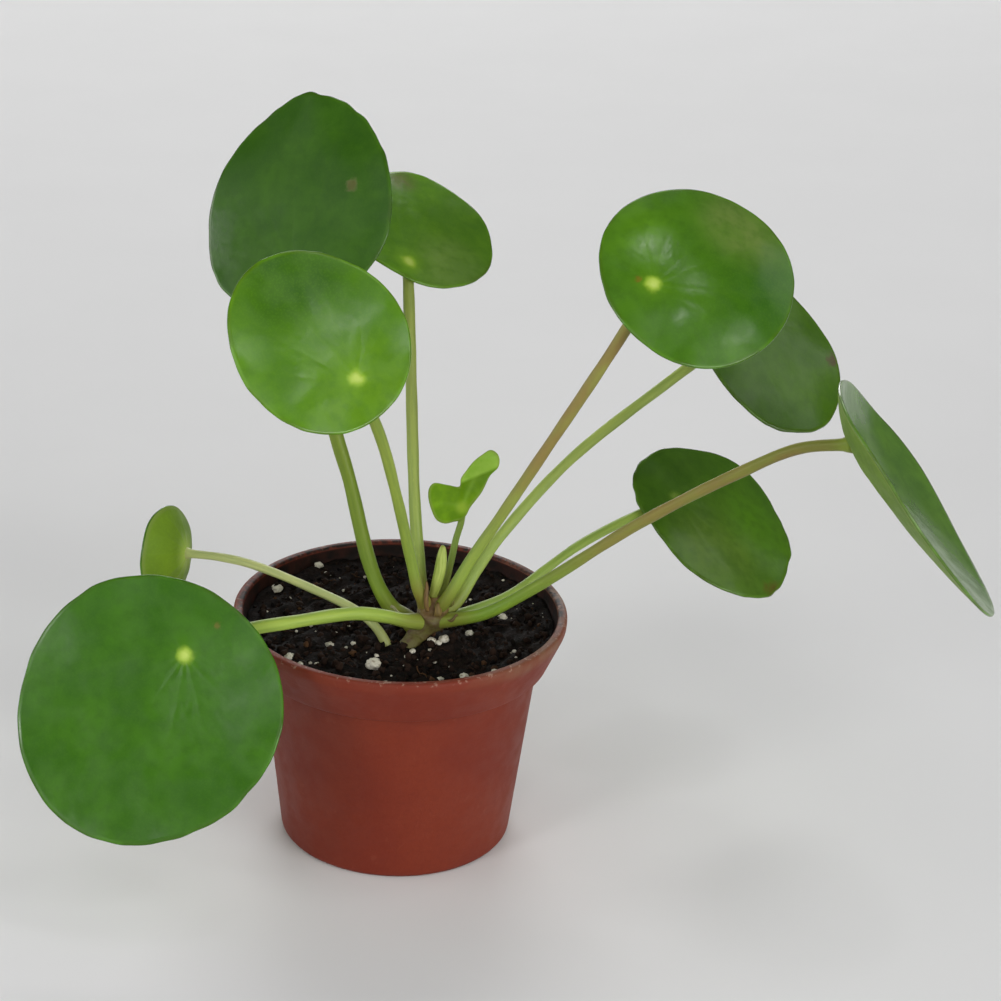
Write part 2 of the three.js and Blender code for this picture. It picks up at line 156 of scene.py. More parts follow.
# The leaves
# - seat is where the stalk meets the blade, facing and rise are the compass direction and the height in
#   degrees that the upper face looks to, and turn is the tip's direction in the blade's plane (0 hangs down)
# - the stalk is inset from the blade's middle, egg narrows the tip half and point draws out the tip
# - dome is the drop of the margin along and across, funnel and curl lift the blade round its seat and at its
#   blunt end, and wave and ragged are the height of the margin's waves and the depth of its notches
# - swell is the height of the blade's gentle unevenness, and bulges are shallow swellings and hollows, each
#   with its place from the seat towards the tip and to the side, its reach and its rise
# - via are the points that the stalk passes through, thick is its width at foot and top, and foot or spring
#   says where or how high up the stem it starts
# - green is the upper face and gloss its index of refraction, glow is the brightness of the spot over the
#   stalk and pale is how much lighter and yellower the underside is
# - stalk is the stalk's colour and tan is how much of its upper part is reddish brown
LEAVES = {
    1: dict(
        seat=(-27.5, 12, 138.5), facing=233, rise=33, turn=200,
        length=54, width=50.5, inset=16.5, egg=0.1, point=0.04, dome=(1.6, 1.3), wave=0.5, ragged=0.4,
        via=[
            (1, -9.5, 60.5), (-2, -8, 62), (-5, -6.5, 66), (-8, -3.5, 72.5), (-13, 2, 90.5), (-16, 4.5, 99.5),
        ],
        thick=(3.8, 3.3), green="365f14", stalk="6f8828", tan=0.1, gloss=1.38,
    ),
    2: dict(
        seat=(-11.2, -28, 128), facing=288, rise=35, turn=217, spring=62.5,
        length=43.5, width=40, inset=12, egg=0.08, dome=(1.2, 0.5), wave=0.25, ragged=0.15,
        bulges=[(5, 14, 8, 0.5), (25, 4, 9, -0.4), (5, -14, 8, 0.25)],
        via=[(4, -13.5, 69.5), (2, -14.5, 78), (-1.5, -18, 94.5), (-5.5, -23, 111.5)],
        thick=(2.9, 2.6), green="528217", stalk="81983c", tan=0.1, gloss=1.43,
    ),
    3: dict(
        seat=(-0.5, 25, 137.3), facing=315, rise=62, turn=128, spring=61,
        length=40.5, width=38.5, inset=15, egg=0.07, dome=(1, 1), wave=0.4, ragged=0.15,
        via=[(5, -8, 66), (4, -5.5, 72.5), (2.5, 0, 86.5), (0.5, 16, 118.5)],
        thick=(3.0, 2.7), green="58881d", stalk="8fa34d", tan=0.15, gloss=1.46,
    ),
    4: dict(
        seat=(53.8, -18, 148.5), facing=289, rise=47, turn=101, spring=62.5,
        length=46.5, width=45, inset=12.8, egg=0.06, dome=(4, 4.5), wave=0.15, ragged=0.1,
        bulges=[(-2, 0, 7, -0.5), (12, 7, 8, -0.4), (20, 15, 7, 0.3)],
        via=[(10.5, -13.6, 67.3), (16, -13.8, 78), (22, -14, 88.5), (30.5, -15, 104), (47, -17, 134.5)],
        thick=(3.0, 2.6), green="447213", stalk="879f41", tan=0.85, swell=0.12, gloss=1.43,
    ),
    5: dict(
        seat=(81.5, 30, 122.2), facing=312, rise=42, turn=26, spring=61,
        length=42, width=39.5, inset=10.5, egg=0.05, dome=(1.3, 1), wave=0.4, ragged=0.15,
        via=[(12.5, -10, 64.5), (17.5, -6, 71.5), (22.5, -3, 78.5), (39, 9, 94), (63.5, 23, 110)],
        thick=(2.9, 2.6), green="3e620f", stalk="9db358", tan=0.1, gloss=1.44,
    ),
    6: dict(
        seat=(99, -35, 119), facing=358, rise=37.5, turn=-22, spring=60.6,
        length=61.5, width=60, inset=17.6, egg=0.19, dome=(-2.2, -3.6), funnel=0.1, curl=3.0, wave=0.15,
        ragged=0.1,
        via=[
            (12, -12.8, 61.9), (19.5, -14, 64.2), (32, -16, 73), (54, -21.5, 92), (75, -28, 108),
            (87.5, -32, 116),
        ],
        # painted sheen: leaf 6's green is lighter and bluer than its own colour, for the grey sheen on its
        # face
        thick=(3.2, 2.6), green="4f752a", stalk="72902c", tan=0.75, gloss=1.48, pale=(1.3, 0.25),
    ),
    7: dict(
        seat=(67.3, 30, 76.3), facing=323, rise=52, turn=40,
        length=47.5, width=44.5, inset=12, egg=-0.15, dome=(1.4, 1.1), wave=0.5, ragged=0.35,
        via=[(13.5, -6.5, 60), (19.5, -3.5, 61), (26, 0, 62.5), (43, 12.5, 70.5), (60.5, 26, 74.5)],
        thick=(2.6, 2.3), green="406614", stalk="8fa84b", tan=0.0, glow=0.15,
    ),
    8: dict(
        seat=(-53.8, 18, 62.8), facing=157, rise=-7, turn=107, foot=(-1.5, -14.5, 48),
        length=25, width=23.5, inset=3, dome=(-3.6, -3.4), wave=0.2, ragged=0.05,
        via=[
            (-3, -13.5, 54.5), (-5.5, -12, 58.5), (-10, -9.5, 61.5), (-22, -2, 64), (-36.5, 8, 65),
            (-44, 12.5, 64.5),
        ],
        thick=(2.4, 2.1), green="457120", stalk="b2bc79", tan=0.05,
    ),
    9: dict(
        seat=(-48.3, -40, 64.5), facing=263, rise=31, turn=-30,
        length=61.5, width=60, inset=15.4, egg=0.08, dome=(0.5, 0.5), wave=0.5, ragged=0.25,
        bulges=[(0, -5, 10, 0.4), (30, 10, 10, -0.4), (5, 20, 10, -0.3)],
        via=[
            (1.5, -15.5, 62.5), (-3.5, -18.5, 65), (-10.5, -22.5, 67.5), (-24, -29.5, 68.5), (-37.5, -33, 67),
        ],
        thick=(3.2, 3.0), green="3a6a14", stalk="95af48", tan=0.05, gloss=1.37,
    ),
}

# The young leaf, half folded: margin gives its outline from the seat, middle is the point that the mesh
# spreads from, furl bends its halves back and fold is the line between them
YOUNG_LEAF = dict(
    seat=(13.7, -4, 86.8), facing=268, rise=24, turn=180, spring=65,
    middle=(3.1, -0.2),
    margin=[
        (13.9, -6.1), (12.6, -4), (10.9, -2.1), (8.8, -0.6), (6.9, 0.6), (5, 0.9), (5.2, 3.5), (5.5, 7),
        (4.4, 8), (2.4, 8.2), (-0.8, 7.3), (-3.2, 5.9), (-3.9, 4), (-3.4, 1.8), (-2.9, 0), (-1.6, -1.1),
        (0, -1.8), (3.8, -4.4), (7.9, -6.3), (9.8, -8), (11.7, -8.3), (13.2, -7.6),
    ],
    furl=0.5, thickness=0.8, fold=[(5, 0.9), (8.3, -6)],
    via=[(10.4, -9.7, 70.6), (11.3, -8.4, 74.2), (12.5, -5.4, 79.4), (13.6, -3.9, 83.3)],
    thick=(1.8, 1.6), green="6e9a0c", stalk="80983c", tan=0.0,
)
YOUNG_NUMBER = 10
RED_FEET = (2, 3)  # the leaves whose stalks are reddish brown at the foot

# Marks on the blades: leaf, place from the seat towards the tip and to the side, radius, colour and kind; two
# of the tints are painted sheen
MARKS = [
    (1, (19, -15.1), 1.8, "58562c", "ring"),
    (2, (-6, 2), 17, "608c0e", "tint"),
    (2, (26, -7), 17, "2a5604", "tint"),
    # painted sheen: a lighter grey-green tint for the greyish sheen on the lower part of leaf 3
    (3, (4, -9), 11, "7c9c4a", "tint"),
    (3, (29, 8), 4.5, "6a6a3c", "tint"),
    (4, (25, -9), 14, "2c5a0c", "tint"),
    (4, (2, 14), 11, "5a8c16", "tint"),
    # painted sheen: a greyer, lighter tint for the greyish sheen on leaf 4
    (4, (28, 8), 12, "6f8340", "tint"),
    (4, (-2.4, 2.4), 0.9, "7a5c1c", "spot"),
    (5, (23, 12.9), 2.0, "4a2c1c", "spot"),
    (7, (13, -11), 17, "5c7828", "tint"),
    (7, (24, 4), 12, "4d7a12", "tint"),
    (7, (31.5, -15), 3.6, "5a4a1c", "spot"),
    (9, (-9.7, 2.0), 0.9, "6e662c", "spot"),
]

# The bud: foot, tip and greatest width
BUD = dict(foot=(7.5, -12.1, 67.5), tip=(9.4, -11.6, 80.5), thick=2.8)

# Papery scales at the leaf bases: foot, tip, width and colour
SCALES = [
    ((6.2, -14.8, 64.8), (5.6, -14.6, 72.4), 1.3, "74592c"),
    ((1.6, -12.4, 62.6), (-2.6, -12.8, 64.6), 1.5, "a0a078"),
    ((11.2, -14.0, 62.4), (13.4, -14.8, 63.8), 1.1, "6a5a2c"),
    ((8.6, -14.8, 63.6), (8.8, -14.9, 67.0), 2.0, "75602c"),
    ((11.2, -12.6, 65.4), (12.6, -13.4, 68.2), 1.4, "7c7a34"),
    ((5.2, -8.6, 63.8), (3.6, -7.0, 67.6), 1.7, "7a6a38"),
    ((9.8, -8.6, 65.0), (10.4, -6.8, 69.4), 1.6, "827040"),
]

# Perlite: the grains that are solids of their own, and smaller ones seen on the soil, each with its size
PERLITE = [
    ((-6, -24), 3.8), ((8, -5.5), 2.4), ((16.5, -7), 2), ((24.5, 2.5), 2.4), ((-16.5, -14), 2),
    ((-30.5, 15.5), 2.8), ((-20.8, 28.6), 2.2), ((15, -28.5), 2.4), ((-26, -21), 2.2),
]
SMALL_PERLITE = [
    ((7.4, -14.6), 2.1), ((9.0, -15.0), 1.7), ((10.4, -14.2), 2.5), ((3.1, -18.1), 1.5), ((1.6, -19.4), 1.1),
    ((10.7, -4.2), 1.6), ((-5.3, -20.4), 1.1), ((-23, -24.9), 1.5),
    ((9.5, -30.1), 1.6), ((12.4, -31.4), 1.3), ((22.2, -25.8), 1.6), ((20.4, -27.4), 1.2), ((-11, -14), 1.3),
    ((-12.6, -15.4), 0.9), ((-27.4, 10.6), 1.4), ((-18.8, 25), 1.2), ((27, -14), 1.1), ((-3, -33), 1.2),
]


def paint(code):
    """A colour given as six hexadecimal digits, as the linear values that shaders take"""
    parts = [int(code[i:i + 2], 16) / 255 for i in (0, 2, 4)]
    return (*[c / 12.92 if c <= 0.04045 else ((c + 0.055) / 1.055) ** 2.4 for c in parts], 1)


def toned(color, factor, yellow=0.0):
    """A colour made lighter or darker, and warmer by yellow"""
    red, green, blue, _ = color
    parts = red * (1 + yellow), green, blue * (1 - yellow)
    return (*[min(1, part * factor) for part in parts], 1)


def draws(seed):
    """Random draws that come out the same in every run"""
    return np.random.default_rng(seed)


# Materials

class Look:
    """A node material in the making. Most methods add a node and return its output."""

    def __init__(self, name):
        self.material = bpy.data.materials.new(name)
        self.material.use_nodes = True
        self.tree = self.material.node_tree
        self.tree.nodes.clear()
        spot = self.add("ShaderNodeTexCoord").outputs["Object"]
        self.place = self.vector("SCALE", spot, Scale=1 / MM)

    def add(self, kind, inputs=None, **settings):
        """A node of that kind; an input is a value or another node's output"""
        node = self.tree.nodes.new(kind)
        for key, value in settings.items():
            setattr(node, key, value)
        for key, value in (inputs or {}).items():
            if isinstance(value, bpy.types.NodeSocket):
                self.tree.links.new(value, node.inputs[key])
            else:
                node.inputs[key].default_value = value
        return node

    def vector(self, operation, a, b=None, **more):
        """Arithmetic on places; a distance or a length is a number"""
        inputs = {0: a, **more}
        if b is not None:
            inputs[1] = b
        node = self.add("ShaderNodeVectorMath", inputs, operation=operation)
        return node.outputs["Value" if operation in ("DISTANCE", "LENGTH") else "Vector"]

    def product(self, a, b):
        """a times b, kept between 0 and 1"""
        return self.add("ShaderNodeMath", {0: a, 1: b}, operation="MULTIPLY", use_clamp=True).outputs[0]

    def total(self, a, b):
        return self.add("ShaderNodeMath", {0: a, 1: b}, operation="ADD").outputs[0]

    def stretched(self, place, length):
        """A place whose third part is multiplied by length, so that a pattern is drawn out along it"""
        return self.vector("MULTIPLY", place, (1.0, 1.0, length))

    def noise(self, size, detail=3, place=None, distortion=0.0):
        """Cloudy noise from 0 to 1, with clouds of that size in millimetres"""
        place = place or self.place
        inputs = {"Vector": place, "Scale": 1 / size, "Detail": detail, "Distortion": distortion}
        return self.add("ShaderNodeTexNoise", inputs).outputs["Fac"]

    def cells(self, size, feature="F1"):
        """The distance from the middle of cells of that size in millimetres"""
        inputs = {"Vector": self.place, "Scale": 1 / size}
        return self.add("ShaderNodeTexVoronoi", inputs, feature=feature).outputs["Distance"]

    def fade(self, value, low, high, start=0.0, end=1.0):
        """start where value is at low, end where it is at high, and smooth between"""
        inputs = {"Value": value, "From Min": low, "From Max": high, "To Min": start, "To Max": end}
        return self.add("ShaderNodeMapRange", inputs, interpolation_type="SMOOTHSTEP").outputs["Result"]

    def mix(self, factor, a, b):
        return self.add("ShaderNodeMix", {0: factor, 6: a, 7: b}, data_type="RGBA").outputs[2]

    def coated(self, color, coat, value, low, high, start=0.0, end=1.0):
        """color under a coat whose strength goes from start to end as value goes from low to high"""
        return self.mix(self.fade(value, low, high, start, end), color, coat)

    def value(self, name):
        """A number that the mesh holds for each point"""
        return self.add("ShaderNodeAttribute", attribute_name=name).outputs["Fac"]

    def held_place(self, name):
        """A place that the mesh holds for each point"""
        return self.add("ShaderNodeAttribute", attribute_name=name).outputs["Vector"]

    def height(self):
        """Height above the table in millimetres"""
        return self.add("ShaderNodeSeparateXYZ", {0: self.place}).outputs["Z"]

    def bump(self, height, depth, under=None):
        """Relief of that depth in millimetres"""
        inputs = {"Height": height, "Distance": depth * MM}
        if under is not None:
            inputs["Normal"] = under
        return self.add("ShaderNodeBump", inputs).outputs["Normal"]

    def surface(self, color, roughness, normal=None, **own):
        """The finished material; own sets the shader's other inputs"""
        inputs = {"Base Color": color, "Roughness": roughness, **own}
        if normal is not None:
            inputs["Normal"] = normal
        shader = self.add("ShaderNodeBsdfPrincipled", inputs)
        self.add("ShaderNodeOutputMaterial", {"Surface": shader.outputs[0]})
        return self.material


def with_marks(look, color, number, on_blade):
    """The marks of a leaf: a brown spot, a pale ring round a spot, or a wide soft tint, two of which are
    painted sheen
    """
    for leaf, (x, y), radius, tint, kind in MARKS:
        if leaf != number:
            continue
        away = look.vector("DISTANCE", look.place, tuple(on_blade(x, y)))
        # a tint is the leaf's own colour, except the two in MARKS that are painted sheen
        if kind == "tint":
            cloud = look.fade(look.noise(0.5 * radius, 3), 0.3, 0.7, 0.6, 1)
            near = look.fade(away, 0.2 * radius, 1.3 * radius, 0.9, 0)
            color = look.mix(look.product(near, cloud), color, paint(tint))
            continue
        wobble = look.fade(look.noise(0.8 * radius, 3), 0.25, 0.75, -0.35 * radius, 0.35 * radius)
        away = look.total(away, wobble)
        inner = look.fade(away, 0.4 * radius, 1.3 * radius, 0.8, 0)
        if kind == "ring":
            color = look.mix(look.product(inner, 0.5), color, paint("8f8560"))
            color = look.coated(color, paint(tint), away, 0.3 * radius, 0.9 * radius, 0.75, 0)
        else:
            color = look.mix(inner, color, paint(tint))
    return color


def blade_upper_look(number, on_blade):
    """The waxy upper face: mottled green, paler veins, a yellow spot over the stalk and a thin pale edge"""
    look = Look(f"blade_{number}_upper")
    glow = LEAVES[number].get("glow", 1)
    base = paint(LEAVES[number]["green"])
    clouds = look.noise(11, 4, distortion=0.4)
    color = look.coated(toned(base, 0.86, -0.04), toned(base, 1.14, 0.06), clouds, 0.32, 0.7)
    color = with_marks(look, color, number, on_blade)
    mottle = look.noise(2.6, 4)
    color = look.coated(color, toned(base, 0.7, -0.05), mottle, 0.4, 0.7, 0, 0.35)
    grain = look.cells(0.55)
    color = look.coated(color, toned(base, 1.5, 0.2), grain, 0.15, 0.6, 0.12, 0)
    vein = look.value("vein")
    color = look.mix(look.product(vein, 0.13), color, toned(base, 1.45, 0.2))
    seat = look.value("from_seat")
    wobble = look.fade(look.noise(2.4, 2), 0.3, 0.7, -0.25, 0.25)
    spot = look.total(seat, wobble)
    color = look.coated(color, toned(base, 1.7, 0.3), spot, 0.6, 5.0, 0.45 * glow, 0)
    color = look.coated(color, paint("9cbc3c"), spot, 1.0, 2.6, 0.9 * glow, 0)
    color = look.coated(color, paint("c0d468"), spot, 0.3, 1.7, 0.8 * glow, 0)
    edge = look.value("edge")
    stain = look.fade(look.noise(7, 2), 0.42, 0.6)
    rim_tint = look.mix(stain, toned(base, 0.8, 0.3), toned(base, 1.35, 0.15))
    color = look.coated(color, rim_tint, edge, 0.0, 0.8, 0.6, 0)
    relief = look.fade(look.cells(1.3, "SMOOTH_F1"), 0, 0.6)
    normal = look.bump(relief, 0.008)
    normal = look.bump(look.noise(0.5, 3), 0.004, normal)
    rough = look.fade(look.noise(4.5, 3), 0.3, 0.7, 0.17, 0.27)
    return look.surface(color, rough, normal, IOR=LEAVES[number].get("gloss", 1.4))


def blade_under_look(number, green):
    """The matt underside: paler and yellower, with lighter raised veins"""
    look = Look(f"blade_{number}_under")
    lighter, yellower = LEAVES.get(number, {}).get("pale", (1.5, 0.5))
    base = toned(paint(green), lighter, yellower)
    clouds = look.noise(9, 3)
    color = look.coated(toned(base, 0.86), toned(base, 1.14, 0.05), clouds, 0.3, 0.7)
    grain = look.cells(0.7)
    color = look.coated(color, toned(base, 1.35, 0.08), grain, 0.1, 0.6, 0.25, 0)
    color = look.mix(look.product(look.value("vein"), 0.25), color, toned(base, 1.6, 0.12))
    seat = look.value("from_seat")
    color = look.coated(color, paint("a9c25a"), seat, 1.0, 6.0, 0.8, 0)
    edge = look.value("edge")
    color = look.coated(color, paint("7c8f42"), edge, 0.1, 0.9, 0.6, 0)
    normal = look.bump(look.noise(0.6, 3), 0.05)
    return look.surface(color, look.fade(look.noise(3, 2), 0.3, 0.7, 0.48, 0.62), normal, IOR=1.36)


def young_upper_look():
    """The young leaf's upper face: fresh green, yellower beyond its fold, and darker towards the fold with
    painted shade
    """
    look = Look(f"blade_{YOUNG_NUMBER}_upper")
    base = paint(YOUNG_LEAF["green"])
    clouds = look.noise(3, 3)
    color = look.coated(toned(base, 0.85, -0.05), toned(base, 1.12, 0.05), clouds, 0.32, 0.7)
    fold = look.value("fold")
    # painted shade: the near half darkens towards the fold, as shade in the crease
    color = look.coated(color, toned(base, 0.62, -0.05), fold, -5, 0.2, 0, 0.5)
    beyond = look.mix(look.noise(2, 3), paint("7fb42a"), paint("a8cc56"))
    color = look.coated(color, beyond, fold, 0.1, 1.0)
    color = look.mix(look.product(look.value("vein"), 0.3), color, paint("9cc24a"))
    color = look.coated(color, paint("9dbb3a"), look.value("from_seat"), 0.4, 2.4, 0.7, 0)
    color = look.coated(color, paint("8a9a4a"), look.value("edge"), 0.0, 0.6, 0.5, 0)
    normal = look.bump(look.noise(0.5, 3), 0.03)
    return look.surface(color, look.fade(look.noise(2, 2), 0.3, 0.7, 0.34, 0.46), normal, IOR=1.18)


def stalk_look(number, green, tan):
    """A stalk: long fine streaks, brownish at the foot and, where tan is high, reddish brown higher up"""
    look = Look(f"stalk_{number}")
    base = paint(green)
    way = look.value("way")
    strip = look.held_place("strip")
    streaks = look.noise(0.9, 3, place=look.stretched(strip, 0.08))
    color = look.coated(toned(base, 0.9, -0.03), toned(base, 1.1, 0.04), streaks, 0.3, 0.7)
    flecks = look.noise(0.5, 2, place=look.stretched(strip, 0.4))
    color = look.coated(color, toned(base, 1.4, 0.08), flecks, 0.62, 0.75, 0, 0.3)
    patches = look.fade(look.noise(5, 2, place=look.stretched(strip, 0.35)), 0.3, 0.65, 0.55, 1)
    reach = look.fade(way, 0.12, 0.6, 0, tan)
    color = look.mix(look.product(reach, patches), color, paint("8e6c42"))
    seat = look.fade(way, 0.945, 1.0)
    color = look.mix(look.product(seat, 0.6), color, toned(base, 1.15, 0.05))
    foot = look.fade(look.value("from_foot"), 4, 15, 0.85, 0)
    foot_color = paint("7c5a30" if number in RED_FEET else "6f6a28")
    color = look.mix(look.product(foot, patches), color, foot_color)
    normal = look.bump(streaks, 0.035)
    return look.surface(color, look.fade(flecks, 0.3, 0.7, 0.4, 0.52), normal, IOR=1.36)


def stem_look():
    """The stem: green-brown and corky, and browner near its top"""
    look = Look("stem_skin")
    patches = look.noise(2.4, 4, distortion=0.6)
    color = look.coated(paint("4c3a1a"), paint("5e5a26"), patches, 0.35, 0.65)
    color = look.coated(color, paint("4a2a1c"), look.noise(0.9, 3), 0.55, 0.75, 0, 0.7)
    color = look.coated(color, paint("7c5c34"), look.height(), 61, 66, 0, 0.7)
    normal = look.bump(look.noise(0.8, 4), 0.25)
    return look.surface(color, 0.62, normal)


def scale_look(index, tint):
    """A dry papery scale with fine lengthwise lines"""
    look = Look(f"scale_{index}")
    lines = look.noise(0.35, 3, place=look.stretched(look.held_place("strip"), 0.12))
    base = paint(tint)
    color = look.coated(toned(base, 0.6), toned(base, 1.25), lines, 0.3, 0.7)
    color = look.coated(color, toned(base, 0.55, 0.1), look.value("way"), 0.55, 1, 0, 0.6)
    return look.surface(color, 0.65, look.bump(lines, 0.08))


def bud_look():
    """The bud: pale yellow-green with long fine folds and a brownish tip"""
    look = Look("bud_skin")
    folds = look.noise(0.7, 3, place=look.stretched(look.held_place("strip"), 0.1))
    way = look.value("way")
    color = look.coated(paint("83992f"), paint("b3c262"), folds, 0.3, 0.7)
    color = look.coated(color, paint("7a7a30"), way, 0.0, 0.45, 0.6, 0)
    color = look.coated(color, paint("8f8a3a"), way, 0.9, 1, 0, 0.4)
    return look.surface(color, 0.45, look.bump(folds, 0.12))


def pot_look():
    """Moulded terracotta-coloured plastic: faint clouds and scuffs, dust on the lip, and soil smudges with
    painted shade at the back of the lip's inner edge
    """
    look = Look("pot_plastic_skin")
    clouds = look.noise(22, 4)
    color = look.coated(paint("732612"), paint("7a2c15"), clouds, 0.35, 0.65)
    speckle = look.noise(0.9, 3)
    color = look.coated(color, paint("682010"), speckle, 0.4, 0.72, 0, 0.25)
    scuffs = look.noise(3.2, 5, distortion=1.2)
    color = look.coated(color, paint("94523e"), scuffs, 0.62, 0.75, 0, 0.14)
    parts = look.add("ShaderNodeSeparateXYZ", {0: look.place}).outputs
    height = parts["Z"]
    right = look.fade(parts["X"], 12, 36, 0.1, 1)
    lip = look.fade(height, POT_HEIGHT - LIP_HEIGHT - 1.5, POT_HEIGHT - 1, 0, 0.85)
    dust = look.product(look.product(lip, right), look.fade(look.noise(6, 4), 0.35, 0.7, 0.35, 1))
    color = look.mix(dust, color, paint("7d5f48"))
    wear = look.fade(look.noise(1.2, 3), 0.58, 0.7, 0, 0.5)
    top_edge = look.fade(height, POT_HEIGHT - 1.0, POT_HEIGHT - 0.2)
    color = look.mix(look.product(wear, top_edge), color, paint("b49a86"))
    # painted shade: the near-black at the back of the lip's inner edge is partly soil smudges and partly shade
    # painted in
    radius = look.vector("LENGTH", look.stretched(look.place, 0.0))
    inner = look.fade(radius, RIM_RADIUS - 1.5, RIM_RADIUS - 0.3, 1, 0)
    back = look.product(look.fade(parts["Y"], -24, 4, 0.1, 1), inner)
    soil_and_shade = look.product(back, look.fade(look.noise(1.8, 4), 0.35, 0.6, 0.3, 1))
    color = look.mix(look.product(soil_and_shade, top_edge), color, paint("1c100c"))
    rings = look.noise(0.6, 2, place=look.vector("MULTIPLY", look.place, (0.03, 0.03, 1.0)))
    normal = look.bump(rings, 0.025)
    normal = look.bump(look.noise(0.5, 4), 0.03, normal)
    rough = look.fade(look.noise(5, 3), 0.3, 0.7, 0.5, 0.64)
    return look.surface(color, rough, normal, IOR=1.36)


def pot_inside_look():
    """The pot's inner wall: near-black, partly from soil and water stains and partly painted shade, and redder
    under the lip
    """
    look = Look("pot_inside_stain_and_shade_skin")
    stains_and_shade = look.noise(3.5, 5)
    # painted shade: these near-black colours stand partly for soil stains and partly for the shade inside the
    # pot
    color = look.coated(paint("150c09"), paint("30160f"), stains_and_shade, 0.35, 0.65)
    color = look.coated(color, paint("5e281a"), look.height(), POT_HEIGHT - 1.2, POT_HEIGHT - 0.2, 0, 0.8)
    normal = look.bump(look.noise(0.6, 4), 0.06)
    return look.surface(color, 0.7, normal, IOR=1.3)


def soil_look():
    """Damp dark potting soil"""
    look = Look("soil_skin")
    lumps = look.noise(1.8, 5)
    color = look.coated(paint("080605"), paint("1b120e"), lumps, 0.3, 0.7)
    bits = look.noise(0.6, 3)
    color = look.coated(color, paint("35241a"), bits, 0.62, 0.75, 0, 0.5)
    normal = look.bump(look.noise(0.5, 5), 0.25)
    return look.surface(color, look.fade(bits, 0.3, 0.7, 0.95, 0.75), normal, IOR=1.22)


def crumb_look(name):
    """Crumbs and bits of peat and bark, each with its own shade"""
    look = Look(name)
    shade = look.value("shade")
    color = look.mix(shade, paint("070504"), paint("2a1c14"))
    color = look.coated(color, paint("4e3622"), shade, 0.93, 1.0)
    normal = look.bump(look.noise(0.4, 4), 0.15)
    return look.surface(color, 0.85, normal, IOR=1.22)


def perlite_look():
    """White puffed grains with pits and soil dust in them"""
    look = Look("perlite_skin")
    pits = look.cells(0.5)
    dust = look.noise(0.8, 4)
    color = look.coated(paint("cbc6b6"), paint("857a62"), dust, 0.45, 0.72, 0, 0.85)
    color = look.coated(color, paint("6f6552"), pits, 0.0, 0.3, 0.5, 0)
    normal = look.bump(pits, 0.12)
    return look.surface(color, 0.8, normal)


# Meshes

def new_mesh(name, points, faces):
    """A mesh from points in millimetres"""
    mesh = bpy.data.meshes.new(name)
    mesh.from_pydata([tuple(point) for point in np.asarray(points, float) * MM], [], faces)
    return mesh


def in_scene(name, data):
    """A new object in the scene"""
    thing = bpy.data.objects.new(name, data)
    bpy.context.scene.collection.objects.link(thing)
    return thing


def new_piece(name, points, faces, materials, replaces=(), face_materials=None, held=None):
    """A piece of the object's one body, the nodes that it replaces and what its mesh holds"""
    mesh = new_mesh(name, points, faces)
    for material in materials:
        mesh.materials.append(material)
    if face_materials is not None:
        mesh.polygons.foreach_set("material_index", face_materials)
    for key, values in (held or {}).items():
        values = np.asarray(values, np.float32)
        if values.ndim == 1:
            mesh.attributes.new(key, "FLOAT", "POINT").data.foreach_set("value", values)
        else:
            mesh.attributes.new(key, "FLOAT_VECTOR", "POINT").data.foreach_set("vector", values.ravel())
    mesh.shade_smooth()
    mesh.update()
    piece = in_scene(name, mesh)
    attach(piece, "root")
    if replaces:
        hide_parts(*replaces)
    return piece


def add_part(points, faces, own_points, own_faces):
    """One more closed part in the lists of a piece's points and faces"""
    faces += [tuple(len(points) + i for i in face) for face in own_faces]
    points.extend(own_points)


def ring_faces(first, second, sides):
    """Four-sided faces between two rings of points, given the number of each ring's first point"""
    following = [(i + 1) % sides for i in range(sides)]
    return [(first + i, second + i, second + j, first + j) for i, j in enumerate(following)]


def cap_faces(middle, ring, sides, flip=False):
    """Triangles between a middle point and a ring"""
    faces = [(middle, ring + i, ring + (i + 1) % sides) for i in range(sides)]
    return [face[::-1] for face in faces] if flip else faces


def lengths_along(line):
    """How far each point of a line lies from its start, along it"""
    return np.concatenate([[0], np.cumsum(np.linalg.norm(np.diff(line, axis=0), axis=1))])


def spline_part(before, start, end, after, ways):
    """The stretch from start to end of a smooth line through four points, by the centripetal rule"""
    gap_a, gap, gap_b = [max(np.linalg.norm(q - p) ** 0.5, 1e-4)
                         for p, q in ((before, start), (start, end), (end, after))]
    slope_a = ((start - before) / gap_a - (end - before) / (gap_a + gap) + (end - start) / gap) * gap
    slope_b = ((end - start) / gap - (after - start) / (gap + gap_b) + (after - end) / gap_b) * gap
    square = -3 * start + 3 * end - 2 * slope_a - slope_b
    cube = 2 * start - 2 * end + slope_a + slope_b
    t = ways[:, None]
    return start + slope_a * t + square * t ** 2 + cube * t ** 3


def smooth_line(points, count, closed=False):
    """count evenly spaced points of the smooth line through the given points"""
    points = [np.asarray(point, float) for point in points]
    if closed:
        chain = [points[-1], *points, points[0], points[1]]
    else:
        chain = [2 * points[0] - points[1], *points, 2 * points[-1] - points[-2]]
    ways = np.linspace(0, 1, 40, endpoint=False)
    parts = [spline_part(*chain[i:i + 4], ways) for i in range(len(chain) - 3)]
    dense = np.vstack([*parts, chain[-2][None]])
    along = lengths_along(dense)
    wanted = np.linspace(0, along[-1], count, endpoint=not closed)
    return np.stack([np.interp(wanted, along, dense[:, axis]) for axis in range(3)], axis=1)


